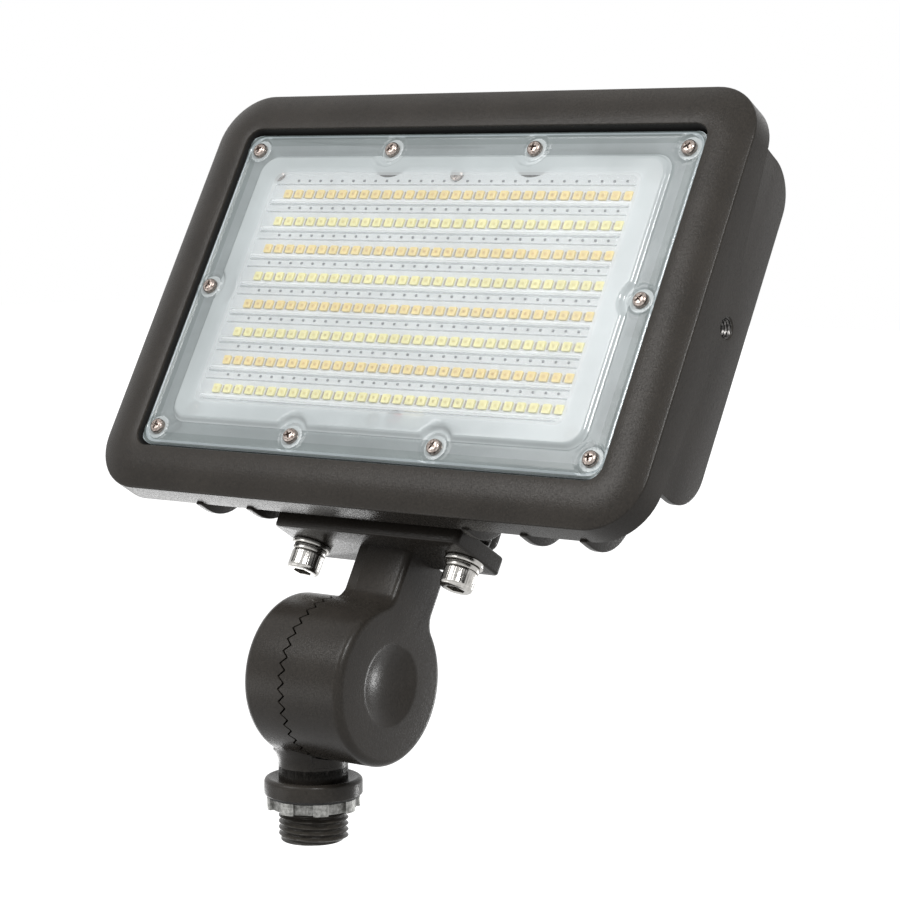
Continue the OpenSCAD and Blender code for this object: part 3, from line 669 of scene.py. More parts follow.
@dataclass
class Knuckle:
    """Both toothed halves, the neck, collar, stub, arm and plate.

    Along the tilt axis, left is the closed face, split the middle of the toothed joint and right the arm's
    face. Groove and chamber are sunk into the joint face: outer radius, inner radius and floor. The sink is
    the counterbore for the clamping bolt.
    """

    shop: Workshop
    radius: float = 24.2
    left: float = -7.5
    split: float = 8.0
    right: float = 29.8
    teeth: int = 40
    tooth: float = 1.0
    gap: float = 0.8
    edge: float = 2.5
    count: int = 96
    groove: Triple = (17.65, 15.75, 6.2)
    chamber: Triple = (14.5, 9.5, -4.0)
    bolt_r: float = 3.3
    sink_r: float = 6.3
    sink_floor: float = 1.7
    stub_r: float = 10.45
    bore_r: float = 7.5
    stub_low: float = -14.0
    pitch: float = 1.8143
    thread_d: float = 1.05
    arm_left: float = 9.6
    dish_r: float = 12.0
    dish_d: float = 3.0
    arm_front: float = -11.4
    arm_rear: float = 9.0
    plate_low: float = 38.2
    plate_t: float = 5.8
    plate_half: tuple[float, float] = (34.5, 12.3)
    plate_y: float = -9.2
    arm_top: float = 38.9
    face_radii: tuple[float, ...] = (24.2, 22.5, 20.5, 18.6, 17.9)

    @property
    def joint(self) -> float:
        """Place of the lower half's joint face along the tilt axis."""
        return self.split - self.gap / 2

    def tooth_face(self, radius: Array, angle: Array, side: float) -> Array:
        """Place of a toothed face along the tilt axis.

        A triangle wave of one period a tooth, whose height fades inside the toothed band; both halves
        follow the same wave, half a gap to each side of the split.

        Args:
            radius: distance from the axis, rings x 1.
            angle: angle round the axis, 1 x points.
            side: -1 for the lower half, +1 for the upper one.

        Returns:
            rings x points.
        """
        wave = np.clip(1.15 * (4 * np.abs((angle * self.teeth / TURN + 0.5) % 1.0 - 0.5) - 1), -1, 1)
        band = np.clip((radius - 17.9) / 0.7, 0, 1) * radius / self.radius
        return self.split + side * self.gap / 2 + self.tooth * band * wave

    def toothed_disc(self, profile: list[tuple[float, float | None]], side: float) -> Shell:
        """Turned body about X whose profile points without a place lie on the toothed face.

        Args:
            profile: [radius, place] pairs of a closed section.
            side: which half it is.

        Returns:
            the shell, in the hinge frame.
        """
        angle = circle(8 * self.teeth)
        radius = np.array([p[0] for p in profile])[:, None]
        flat = np.array([0.0 if p[1] is None else p[1] for p in profile])[:, None]
        on_face = np.array([p[1] is None for p in profile])[:, None]
        x = np.where(on_face, self.tooth_face(radius, angle, side), flat)
        return loft(np.stack((x, radius * np.cos(angle), radius * np.sin(angle)), -1), close=True)

    def lower_disc(self) -> Shell:
        """Lower half: closed face with the bolt's counterbore, and joint face with groove and chamber."""
        turn = np.linspace(0, np.pi / 2, 8)
        edge = 1.35 * self.edge
        rim = [(self.radius - edge * (1 - np.sin(t)), self.left + edge * (1 - np.cos(t))) for t in turn]
        faces = [(self.radius, 6.2)] + [(r, None) for r in self.face_radii]
        sunk = []
        for outer, inner, floor in (self.groove, self.chamber):
            sunk += [(outer, self.joint), (outer, floor), (inner, floor), (inner, self.joint)]
        bore = [(self.bolt_r, self.joint), (self.bolt_r, self.sink_floor), (self.sink_r, self.sink_floor),
                (self.sink_r, self.left + 0.4), (self.sink_r + 0.4, self.left)]
        return self.toothed_disc(rim + faces + sunk + bore, -1.0)

    def upper_ring(self) -> Shell:
        """Toothed ring of the upper half, up to where the arm's full outline starts."""
        inner = [(3.1, 10.9), (3.1, self.split + 0.2), (17.0, self.split + 0.2)]
        faces = [(r, None) for r in self.face_radii[::-1]]
        return self.toothed_disc(inner + faces + [(self.radius, 9.7), (self.radius, 10.9)], 1.0)

    def neck(self) -> Shell:
        """Neck from the collar into the disc.

        An ellipse at each height. Its depth follows a round blend of radius 10 into the disc; its width
        grows half as fast again, then shrinks to the disc's closed face; above the collar it is cut off at
        the joint plane, and a plain round skirt goes on beyond it.
        """
        steps = [4.0, 6.5, 8.6, 9.5, 10.4, 11.2, 12.0, 12.7, 13.4, 14.0, 14.6, 15.2, 15.9, 16.6, 18.5, 21.0]
        z = np.array(steps)[:, None]
        angle = circle(self.count)
        deep = 20.45 - np.sqrt(100 - np.clip(z - 8.59, 0, 8.01) ** 2)
        shrunk = np.interp(z, [13.5, 14.2, 15.2, 16.6, 21], [12.3, 11.6, 9.4, 6.8, 5])
        wide = np.where(z < 13.5, self.stub_r + 1.5 * (deep - self.stub_r), shrunk)
        x, y = np.cos(angle) * wide, np.sin(angle) * deep
        x = np.where(z > 10.3, np.minimum(x, self.joint - 1.0), x)
        ledge = self.stub_r * np.sin(angle)
        top = HINGE_H - np.sqrt((self.radius + 0.3) ** 2 - ledge ** 2)
        heights = np.concatenate((np.full_like(top, 4.5), np.minimum(top, 14.0)))
        return loft(np.stack((x, y, z + 0 * x), -1)) + loft(polar(self.stub_r, angle, heights))

    def collar(self) -> Shell:
        """Turned collar with a round upper edge and a small chamfer below."""
        corners = [(7.8, 0.0), (14.5, 0.0), (14.8, 0.3), (14.8, 5.2), (10.0, 5.2), (7.8, 5.2)]
        section, _ = outline(corners, [0.1, 0.2, 0.2, 1.4, 0.1, 0.1], 5)
        return turned(section, self.count, close=True)

    def stub(self) -> Shell:
        """Threaded stub.

        The outer radius drops by a rounded triangle wave of one period a pitch that advances with the
        angle, and runs out at both ends; the bore is plain.
        """
        angle = circle(self.count)
        low = self.stub_low
        z = np.linspace(0.5, low, 82)[:, None]
        phase = (z / self.pitch + angle / TURN) % 1.0
        wave = np.clip(1.25 * (1 - np.abs(2 * phase - 1)) - 0.12, 0, 1) ** 0.9
        run_out = np.clip((-0.2 - z) / 0.8, 0, 1)
        outer = self.stub_r - self.thread_d * wave * run_out - 0.9 * np.clip(low + 0.9 - z, 0, 0.9)
        bore = np.array([(8.4, low), (7.9, low + 0.1), (self.bore_r, low + 0.5), (self.bore_r, 0.5)])
        rings = (polar(np.maximum(outer, 8.9), angle, z), polar(bore[:, :1], angle, bore[:, 1:]))
        return loft(np.concatenate(rings), close=True)

    def arm_outline(self) -> tuple[Array, Array, Array]:
        """Keyhole outline of disc and arm in the plane across the tilt axis.

        The disc's arc, a concave round blend on each side and the arm's straight sides.

        Returns:
            points, outward normals, and 1 on the arm's straight sides and 0 on the disc.
        """
        reach, r = 6.0, self.radius
        cy0, cy1 = self.arm_front - reach, self.arm_rear + reach
        cz0, cz1 = np.sqrt((r + reach) ** 2 - cy0 ** 2), np.sqrt((r + reach) ** 2 - cy1 ** 2)
        a0, a1 = np.arctan2(cz0, cy0), np.arctan2(cz1, cy1)
        disc = unit(np.linspace(a0, a1 + TURN, 120))
        s = np.linspace(0, 1, 14)
        rear = unit(a1 + np.pi + (np.pi - (a1 + np.pi)) * s[1:])
        front = unit(np.linspace(0, a0 - np.pi, 14)[:-1])
        up = np.linspace(0, 1, 8)[:, None]
        top = self.arm_top
        rear_side = np.array([self.arm_rear, cz1]) + up[1:] * np.array([0.0, top - cz1])
        front_side = np.array([self.arm_front, top]) + up[:-1] * np.array([0.0, cz0 - top])
        rear_blend, front_blend = np.array([cy1, cz1]) + reach * rear, np.array([cy0, cz0]) + reach * front
        points = np.concatenate((disc * r, rear_blend, rear_side, front_side, front_blend))
        ways = np.concatenate((disc, -rear, np.repeat([[1.0, 0.0], [-1.0, 0.0]], 7, 0), -front))
        blend = np.concatenate((np.zeros(120), s[1:] ** 1.5, np.ones(14), (1 - s[:-1]) ** 1.5))
        return points, ways, blend

    def arm(self) -> Shell:
        """Disc and arm of the upper half.

        The keyhole outline is carried along the tilt axis and moved inwards along its normals: a chamfer on
        the arm's left edges, a round edge on the right, then the flat face and the dish, whose rings lie on
        rays from the axis.
        """
        points, ways, blend = self.arm_outline()
        x_left = np.array([self.arm_left, self.arm_left, 9.9, 13.6, 13.95, 14.3])
        d_left = np.array([1.9, 1.5, 1.25, 1.0, 0.2, 0.0])
        turn = np.linspace(0, np.pi / 2, 9)
        x_right = np.concatenate(([26.4], self.right - self.edge * (1 - np.sin(turn))))
        d_right = np.concatenate(([0.0], self.edge * (1 - np.cos(turn))))
        x = np.concatenate((x_left, x_right))
        d = np.concatenate((d_left[:, None] * blend[None], d_right[:, None] * (1 - 0.2 * blend[None])))
        sides = points[None] - d[..., None] * ways[None]
        ray = sides[-1] / np.linalg.norm(sides[-1], axis=1, keepdims=True)
        ball = (self.dish_r ** 2 + self.dish_d ** 2) / (2 * self.dish_d)
        r = np.array([13.0, 12.4, 12.0, 11.6, 10.0, 8.0, 6.0, 4.0, 2.0])
        depth = np.where(r < 11.9, ball - np.sqrt(ball ** 2 - r ** 2) - self.dish_d, 0.0)
        depth = np.where((r > 11.9) & (r < 12.1), -0.06, depth)
        bowl = raised(r[:, None, None] * ray[None], self.right + depth)
        rings = np.concatenate((raised(sides, x), bowl))[..., [2, 0, 1]]
        return loft(rings, hubs=[(self.arm_left, 0, 0), (self.right - self.dish_d, 0, 0)])

    def plate(self) -> Shell:
        """Mounting plate: a rectangle with round corners and edges."""
        inset, height = round_edge(self.plate_low, self.plate_low + self.plate_t, 0.8)
        wide, deep = self.plate_half
        rings = rect_rings(wide - inset, deep - inset, 1.8 - 0.5 * inset, height)
        return loft(rings).moved(HEAD_U, self.plate_y, 0)

    def build(self) -> None:
        """Makes all pieces of both halves."""
        coat = ("bronze",)
        base = dict(body="base", slot="bronze_coat", replaces=("knuckle_base",))
        head = dict(body="head", slot="bronze_coat", replaces=("knuckle_arm",))
        self.shop.make("lower_knuckle_disc", self.lower_disc(), Place.HINGE, finishes=coat, **base)
        self.shop.make("lower_knuckle_neck", self.neck(), Place.ROW, finishes=coat, **base)
        self.shop.make("stub_collar", self.collar(), Place.ROW, finishes=coat, **base)
        thread = dict(finishes=("bronze_thread",), sharp=50.0)
        self.shop.make("threaded_stub", self.stub(), Place.ROW, **thread, **base)
        self.shop.make("upper_knuckle_teeth", self.upper_ring(), Place.HINGE, finishes=coat, **head)
        self.shop.make("upper_knuckle_arm", self.arm(), Place.HEAD, finishes=coat, **head)
        self.shop.make("mounting_plate", self.plate(), Place.HEAD, finishes=coat, **head)


@dataclass
class Fasteners:
    """Locknut, plate bolts with their washers, and lens screws."""

    shop: Workshop
    bolt_off: float = 28.95
    bolt_y: float = -8.0
    bolt_z: float = 38.2
    lugs: int = 8
    lug_mid: float = 13.1
    lug_top: float = 3.7
    nut_low: float = -4.35
    knurls: int = 36
    socket_r: float = 2.5
    head_r: float = 2.45
    head_h: float = 2.0
    shank_r: float = 1.5
    shank_l: float = 6.6
    screw_seat: float = 34.8

    def locknut(self) -> Shell:
        """Conduit locknut: a turned ring with lugs, whose outlines are arcs drawn in at their corners."""
        ring = [(10.55, 0.1), (10.8, 0.15), (12.7, 0.2), (12.9, 0.4), (12.9, 3.3), (12.7, 3.5), (10.8, 3.6),
                (10.55, 3.5)]
        # The ring between the lugs takes the darker zinc: painted shade.
        result = turned(ring, 96, close=True).finished(1)
        spread = np.linspace(-1, 1, 13)
        reach = np.concatenate((14.05 - 0.35 * np.abs(spread) ** 6, np.full(13, 12.2)))
        loop = reach[:, None] * unit(0.17 * np.concatenate((spread, spread[::-1])))
        centre = np.array([self.lug_mid, 0.0])
        shrink = np.array([0.82, 0.96, 1.0, 1.0, 0.96, 0.82])[:, None, None]
        height = np.array([0.0, 0.08, 0.35, 3.35, 3.62, self.lug_top])
        hubs = [(self.lug_mid, 0, 0), (self.lug_mid, 0, self.lug_top)]
        lug = loft(raised(centre + (loop - centre)[None] * shrink, height), hubs=hubs)
        for i in range(self.lugs):
            result = result + lug.spun(i * TURN / self.lugs + 0.075)
        return result.moved(0, 0, self.nut_low)

    def cap_bolt(self) -> Shell:
        """Socket cap screw with a knurled head, head up.

        The radius has a rounded notch at each of the knurls between the two plain bands; the socket is a
        hexagon, its radius the half width over the cosine of the angle from the nearest flat's middle.
        """
        angle = circle(144)
        notch = np.abs(np.sin(angle * self.knurls / 2)) ** 0.7
        profile = np.array([(4.75, 0.0), (4.9, 0.12), (5.0, 0.5), (5.0, 0.7), (5.0, 4.6), (5.0, 4.85),
                            (4.75, 5.6), (4.3, 5.95), (4.1, 6.0)])
        knurl = np.array([0, 0, 0, 0.07, 0.07, 0, 0, 0, 0])[:, None]
        head = polar(profile[:, :1] - knurl * (1 - notch), angle, profile[:, 1:])
        flat = np.abs((angle / (TURN / 6)) % 1.0 - 0.5) * TURN / 6
        socket = np.array([(1.06, 6.0), (1.0, 5.8), (1.0, 3.2), (0.55, 2.6)])
        hexagon = self.socket_r / np.cos(TURN / 12 - flat)
        recess = polar(socket[:, :1] * hexagon, angle, socket[:, 1:])
        return loft(np.concatenate((head, recess))) + turned([(2.7, -19.4), (3.0, -19.0), (3.0, 0.2)], 32)

    def spring_washer(self) -> Shell:
        """Split spring washer: a square section carried round almost a full turn while it climbs."""
        section = ring_section(3.3, 5.2, -0.7, 0.7, 0.15)[None]
        angle = np.linspace(0.06, TURN - 0.06, 72)[:, None]
        climb = np.linspace(-0.1, 0.1, 72)[:, None]
        return loft(polar(section[..., 0], angle, section[..., 1] + climb)).moved(0, 0, 0.8)

    def pan_screw(self) -> Shell:
        """Pan head screw with a cross recess, head up.

        The recess outline is a cross: in each direction the lesser of the arm's reach and the arm's half
        width over the sine of the angle from the arm; it narrows towards its floor.
        """
        angle = circle(64)
        share = np.array([(0.94, 0.0), (1.0, 0.08), (1.0, 0.42), (0.97, 0.6), (0.88, 0.8), (0.72, 0.94),
                          (0.6, 0.985)])
        head = polar(share[:, :1] * self.head_r, angle, share[:, 1:] * self.head_h)
        off = np.abs((angle / (TURN / 4) + 0.5) % 1.0 - 0.5) * TURN / 4
        cross = np.minimum(0.55 * self.head_r, 0.14 * self.head_r / np.maximum(np.sin(off), 1e-3))
        depth = np.array([(1.0, 1.0), (0.93, 0.93), (0.45, 0.42)])
        recess = polar(depth[:, :1] * cross, angle, depth[:, 1:] * self.head_h)
        tip = -self.shank_l
        shank = [(self.shank_r * 0.85, tip), (self.shank_r, tip + 0.4), (self.shank_r, 0.15)]
        return loft(np.concatenate((head, recess))) + turned(shank, 24)

    def build(self, lens_spots: Array) -> None:
        """Makes the fasteners.

        Args:
            lens_spots: centres of the lens screws in the face frame.
        """
        self.shop.make("cast_locknut", self.locknut(), Place.ROW, "nut", "zinc", ("zinc", "zinc_painted_shade"),
                       ("locknut",), 35.0)
        ends = np.array([(HEAD_U + side * self.bolt_off, self.bolt_y, self.bolt_z) for side in (-1, 1)])
        flat_washer = turned(ring_section(3.3, 6.0, 0.05, 1.5, 0.3), close=True)
        for name, shell, drop, node in (
            ("plate_bolts", self.cap_bolt().spun(0.25), 3.2, "plate_screws"),
            ("plate_spring_rings", self.spring_washer().spun(2.1), 1.6, "plate_spring_washers"),
            ("plate_flat_rings", flat_washer, 0.0, "plate_washers"),
        ):
            both = shell.flipped().repeated(ends - [0, 0, drop])
            self.shop.make(name, both, Place.HEAD, "head", "stainless", ("bolt",), (node,), 34.0)
        screw = self.pan_screw()
        heads = [screw.spun(0.35 + 1.1 * i).moved(*at, self.screw_seat) for i, at in enumerate(lens_spots)]
        self.shop.make("lens_screw_heads", sum(heads[1:], heads[0]), Place.FACE, "head", "stainless",
                       ("stainless",), ("lens_screws",), 34.0)


@dataclass
class Housing:
    """Bezel, core, fins, side walls and driver box of the casting."""

    shop: Workshop
    half_w: float = 101.0
    half_h: float = 70.0
    lip: float = 37.2
    edge: float = 34.6
    rim: float = 26.2
    back: float = 9.0
    crown_w: float = 10.5
    crown_h: float = 2.6
    fin_pitch: float = 20.3
    pad: float = -66.0
    band: float = 14.0
    fin_top: float = 70.7
    fin_r: float = 14.5
    fin_t: float = 2.4
    fin_root: float = 27.4
    core_half: tuple[float, float] = (95.0, 59.0)
    ledge_half: tuple[float, float] = (88.0, 57.2)
    ledge_top: float = 31.7
    wall_half: float = 54.0
    wall_in: float = 98.6
    boss_in: float = 89.0
    hole: tuple[float, float] = (0.0, 19.7)
    post: tuple[float, float] = (23.5, 37.2)

    def bezel(self) -> Shell:
        """Crowned front ring.

        The section is given as distance inwards and height; the crown falls off as a parabola. Half sides
        and corner radius of each ring lie between those of the outer edge and of the window in that share.
        The window's wall, which is the first band, has a near-black finish of its own: painted shade.
        """
        t = np.linspace(1.0, 0.055, 12)
        crown = np.stack((t * self.crown_w, self.edge + self.crown_h * (1 - (1 - t) ** 2)), -1)
        window = [(self.band, 31.4), (self.band, 36.35), (self.band, 36.6), (13.93, 36.9), (13.75, 37.11),
                  (13.45, self.lip), (11.0, self.lip)]
        rim = [(0.42, 34.8), (0.25, 34.7), (0.11, 34.54), (0.03, 34.37), (0.0, 34.16), (0.0, self.rim),
               (self.band, self.rim)]
        p = np.concatenate((window, crown, rim))
        share = p[:, 0] / self.band
        half_w, half_h = self.half_w - self.band * share, self.half_h - 13.7 * share
        rings = rect_rings(half_w, half_h, 17.0 - 12.0 * share, p[:, 1], arc=14)
        bands = np.zeros(len(rings), dtype=int)
        # The window's wall takes the near-black coat: painted shade.
        bands[0] = 1
        return loft(rings, close=True, bands=bands)

    def core(self) -> Shell:
        """Plate behind the window with a round rear edge."""
        inset = np.array([1.2, 0.6, 0.17, 0.0, 0.0])
        height = np.array([23.5, 23.66, 24.1, 24.7, 31.5])
        half_w, half_h = self.core_half
        return loft(rect_rings(half_w - inset, half_h - inset, 10.0 - 0.5 * inset, height))

    def ledge(self, field_loop: Array) -> Shell:
        """Step under the lens, from the field outline out to a rectangle on the same rays from its centre."""
        ray = np.min(self.ledge_half / np.maximum(np.abs(field_loop), 1e-6), axis=1, keepdims=True)
        loops = np.stack((field_loop, field_loop, field_loop * ray, field_loop * ray))
        low, high = 31.3, self.ledge_top
        return loft(raised(loops, np.array([low, high, high, low])), close=True)

    def fin(self, u: float, low: float, low_r: float) -> Shell:
        """Cooling fin: a plate across the width axis with round edges and round rear corners.

        The outline is moved inwards along its normals by the inset of round_edge.

        Args:
            u: its middle along the width.
            low: its lower end.
            low_r: radius of the lower rear corner.

        Returns:
            the shell.
        """
        top, root = self.fin_top, self.fin_root
        loop, ways = outline([(low, self.back), (top, self.back), (top, root), (low, root)],
                             [low_r, self.fin_r, 0.3, 0.3], 12)
        left, right = u - self.fin_t / 2, u + self.fin_t / 2
        inset, place = round_edge(left, right, 0.45)
        middle = ((low + top) / 2, 22.0)
        rings = raised(loop[None] - inset[:, None, None] * ways[None], place)
        return loft(rings, hubs=[(*middle, left), (*middle, right)]).axes(2, 0, 1)

    def side_wall(self, side: float) -> Shell:
        """Side wall with its threaded hole.

        Rings: outer face from the hole's chamfer to the wall's round edge, edge, inner face, boss and the
        threaded bore, whose radius is a triangle wave of the depth that advances with the angle. Points lie
        on rays from the hole.

        Args:
            side: +1 for the right wall, -1 for the left one.

        Returns:
            the shell.
        """
        half, low, high = self.wall_half, self.back, self.rim
        corners = [(-half, low), (half, low), (half, high), (-half, high)]
        coarse, ways = outline(corners, [12.0, 12.0, 0.06, 0.06], 14)
        loop = fine_rings(coarse[None], 4.0)[0]
        ways = ways[np.argmin(np.linalg.norm(loop[:, None] - coarse[None], axis=-1), axis=1)]
        ways = np.where(loop[:, 1:] > self.rim - 0.2, [0.0, 0.0], ways)
        ray = (loop - self.hole) / np.linalg.norm(loop - self.hole, axis=1, keepdims=True)
        angle = np.arctan2(ray[:, 1], ray[:, 0])[None]
        inset, depth = round_edge(self.wall_in, self.half_w, 0.4)
        skin = loop[None] - inset[::-1, None, None] * ways[None]
        boss = np.array([(6.6, self.wall_in), (6.0, 98.0), (6.0, 89.3), (5.7, self.boss_in)])
        mouth = np.array([(3.35, 100.9), (3.5, self.half_w)])
        bore_x = np.linspace(self.boss_in, 100.6, 100)[:, None]
        wave = np.abs(2 * ((bore_x + side * angle / TURN) % 1.0) - 1)
        bore_r = 2.62 + 0.38 * wave + np.clip(bore_x - 100.2, 0, 1)
        radius = np.concatenate((boss[:, :1] + 0 * angle, bore_r, mouth[:, :1] + 0 * angle))
        flat = np.concatenate((skin, self.hole + radius[..., None] * ray[None]))
        place = np.concatenate((depth[::-1], boss[:, 1], bore_x[:, 0], mouth[:, 1]))
        bands = np.zeros(len(flat), dtype=int)
        # The threaded bore takes the dark metal: painted shade.
        bands[len(skin) + len(boss):-len(mouth) - 1] = 2
        return loft(raised(flat, side * place)[..., [2, 0, 1]], close=True, bands=bands)

    def box(self) -> Shell:
        """Driver box: outer walls, chamfered rear edges, and the open bay with its floor."""
        hw = np.array([34.6, 34.6, 34.45, 30.5, 30.05, 29.6, 27.4, 27.0, 27.0])
        low = self.pad + np.array([0.0, 0.0, 0.0, 0.0, 0.15, 0.5, 11.7, 12.0, 12.0])
        high = np.array([44.0, 44.0, 44.0, 44.0, 43.85, 43.5, 41.3, 41.0, 41.0])
        w = np.array([24.2, 6.4, 5.8, 0.95, 0.6, 0.5, 0.5, 0.8, 22.5])
        r = np.array([1.2, 1.2, 1.2, 1.2, 1.2, 1.2, 2.0, 2.0, 2.0])
        return loft(rect_rings(hw, (high - low) / 2, r, w, (high + low) / 2))

    def build(self, field_loop: Array) -> None:
        """Makes the housing's pieces.

        Args:
            field_loop: outline of the lens field.
        """
        spans = [(-4, -54.0, 12.0)] + [(i, -self.fin_top, self.fin_r) for i in (-3, -2, 2, 3, 4)]
        spans += [(i, 42.0, 0.3) for i in (-1, 0, 1)]
        fins = [self.fin(i * self.fin_pitch, low, low_r) for i, low, low_r in spans]
        posts = np.array([(side * self.post[0], self.post[1], 0.0) for side in (-1, 1)])
        pieces = {
            "crowned_bezel": self.bezel(),
            "window_plate": self.core() + self.ledge(field_loop),
            "cooling_fins": sum(fins[1:], fins[0]),
            "side_walls": self.side_wall(1.0) + self.side_wall(-1.0),
            "driver_box": self.box() + turned([(4.5, 0.9), (4.5, 22.6)], 32).repeated(posts),
        }
        # Finish 1 is the painted shade of the window's wall, finish 2 the painted shade of the threaded hole.
        for name, shell in pieces.items():
            self.shop.make(name, shell, Place.FACE, "head", "bronze_coat", ("bronze", "shade", "bore"),
                           ("housing",))


@dataclass
class Lens:
    """Clear lens with its raised field, bars of painted shade and highlight lines, and pads round its screws.
    """

    shop: Workshop
    half_w: float = 86.7
    half_h: float = 55.1
    top: float = 35.2
    rise: float = 1.5
    field_w: float = 77.1
    field_h: float = 46.4
    field_r: float = 6.0
    cut_r: float = 6.2
    spots: Array = field(default_factory=lambda: np.array(
        [(x, y) for x in (-81.15, -27.05, 27.05, 81.15) for y in (49.2, -49.2)]
        + [(-81.15, 0.0), (81.15, 0.0)]))

    @property
    def cuts(self) -> Array:
        """Middle and end screws, which the field's outline goes round."""
        return self.spots[[2, 3, 4, 5, 8, 9]]

    def notched(self) -> Array:
        """Outline of the field with its round notches, in the order that follows the angle from the centre.

        A round-cornered rectangle, pushed out of the circles round the middle and end screws along rays
        from the centre of the lens.
        """
        loop = fine_rings(rect_rings(77.5, 46.8, 6.0, 0.0), 1.0)[0, :, :2]
        for spot in self.cuts:
            reach = np.linalg.norm(loop, axis=1)
            ray = loop / reach[:, None]
            along = ray @ spot
            across = np.linalg.norm(spot - ray * along[:, None], axis=1)
            enter = along - np.sqrt(np.clip(36.0 - across ** 2, 0, None))
            cut = (across < 6.0) & (enter < reach)
            loop = np.where(cut[:, None], ray * enter[:, None], loop)
        return loop

    def height(self, u: Array, v: Array) -> Array:
        """Front surface of the lens.

        The flange's level, plus the field's rise by a smooth step of the signed distance from its outline,
        the bead along the edge by a bell curve of the distance from the edge, and a shallow well with a
        small ring at each screw.

        Args:
            u: along the width, an array.
            v: along the height, an array of the same shape.

        Returns:
            height of each point.
        """
        du, dv = np.abs(u) - (self.field_w - self.field_r), np.abs(v) - (self.field_h - self.field_r)
        outside = np.hypot(np.clip(du, 0, None), np.clip(dv, 0, None))
        field_d = outside + np.minimum(np.maximum(du, dv), 0) - self.field_r
        near = np.hypot(u[..., None] - self.spots[:, 0], v[..., None] - self.spots[:, 1]).min(-1)
        notch = np.hypot(u[..., None] - self.cuts[:, 0], v[..., None] - self.cuts[:, 1]).min(-1)
        step = np.clip(0.5 - np.maximum(field_d, self.cut_r - notch) / 1.8, 0, 1)
        rise = self.rise * step * step * (3 - 2 * step)
        side = np.minimum(self.half_w - np.abs(u), self.half_h - np.abs(v))
        bead = 0.35 * np.exp(-((side - 1.3) / 0.35) ** 2) - 0.5 * np.clip(1 - side / 0.7, 0, 1) ** 2
        ring = 0.22 * np.exp(-((near - 4.4) / 0.35) ** 2)
        well = -0.4 * np.clip((4.3 - near) / 0.5, 0, 1)
        return self.top + rise + np.where(near < 5.4, ring, bead) + well

    def body(self) -> Shell:
        """Lens body.

        Round-cornered rings from the hollow under the field out to the edge and back over the front, whose
        height comes from the height field. Each band of rings has the finish of its distance from the edge:
        0 bright edge, a painted highlight, 1 dark line, painted shade, 2 and 3 flange, 4 frost, 5 clear
        optic,
        6 and 7 the veils between them.
        """
        outer, inner = [0.0, 0.2, 0.45, 0.85, 1.15, 1.6, 2.0], [16.2, 17.4, 18.6, 25.0]
        inset = np.concatenate((outer, np.arange(2.55, 15.2, 0.55), inner))
        hw = self.half_w - inset
        hh = self.half_h - inset * 15.3 / 17.4 + 0.08 * np.clip(inset - 9.5, 0, None)
        radius = np.interp(inset, [0, 9.5, 17.4, 25.0], [5.0, 6.0, 3.0, 1.0])
        front = self.matched(hw, hh, radius, 0 * inset)
        front[..., 2] = self.height(front[..., 0], front[..., 1])
        hollow = [(58.0, 27.0, 1.0, 35.2), (75.3, 44.6, 4.0, 35.2), (75.3, 44.6, 4.0, 32.7),
                  (86.4, 54.8, 5.0, 32.7), (self.half_w, self.half_h, 5.0, 33.0)]
        under = self.matched(*np.array(hollow).T)
        limits = [0.3, 0.9, 1.7, 4.6, 9.2, 16.0, 17.0, 18.5]
        zone = np.searchsorted(limits, (inset[:-1] + inset[1:]) / 2, side="right")
        kinds = np.array([0, 1, 0, 2, 3, 4, 6, 7, 5])[zone]
        return loft(np.concatenate((under, front)), bands=np.concatenate(([5, 4, 3, 2, 1], kinds)))

    def matched(self, hw: Array, hh: Array, r: Array, z: Array) -> Array:
        """Rings with points at the same shares of their sides as the lens's edge."""
        stack = rect_rings(np.append(self.half_w, hw), np.append(self.half_h, hh), np.append(5.0, r),
                           np.append(0.0, z))
        return fine_rings(stack, 0.75)[1:]

    def ridges(self, offset: float, wide: float, high: float, rows: Array) -> Shell:
        """Ridges along the lamp rows: an oval section with its middle on the lens, narrower at the ends."""
        along = np.concatenate(([-69.0, -68.8, -68.4], np.linspace(-67.5, 66.0, 3), [66.9, 67.3, 67.5]))
        grow = np.array([0.3, 0.7, 0.95, 1, 1, 1, 0.95, 0.7, 0.3])[:, None]
        turn = np.linspace(0, TURN, 9)[:-1][None]
        y, z = wide / 2 * np.cos(turn) * grow, high * np.sin(turn) * grow
        bar = loft(np.stack((along[:, None] + 0 * y, y, z), -1))
        return bar.repeated(np.stack((0 * rows, rows + offset, 0 * rows + self.top), -1))

    def bosses(self) -> Shell:
        """Pale turned pads in the wells round the screws."""
        section = [(1.8, -0.36), (2.2, -0.3), (3.7, -0.3), (3.9, -0.36), (3.9, -0.5), (1.8, -0.5)]
        places = np.concatenate((self.spots, np.full((len(self.spots), 1), self.top)), -1)
        return turned(section, 32, close=True).repeated(places)

    def build(self, rows: Array) -> None:
        """Makes the lens, its pads and its bars, none of which casts a shadow; board and lamps carry painted
        shade.

        Args:
            rows: height of each lamp row.
        """
        bands = ("edge", "line", "flange", "flange_inner", "frost", "optic", "veil", "thin_veil")
        # The grey ridges are painted shade lines, and the white crest is a painted highlight line.
        grey = self.ridges(2.6, 0.5, 0.2, rows) + self.ridges(-4.5, 0.8, 0.25, rows)
        bars = grey + self.ridges(-3.1, 1.1, 0.4, rows).finished(1)
        for name, shell, finishes, replaces, sharp in (
            ("clear_lens", self.body(), bands, ("lens",), 40.0),
            ("screw_bosses", self.bosses(), ("boss",), (), 40.0),
            ("optic_ridges", bars, ("ridge", "crest"), (), 60.0),
        ):
            piece = self.shop.make(name, shell, Place.FACE, "head", "clear_lens", finishes, replaces, sharp)
            piece.visible_shadow = False


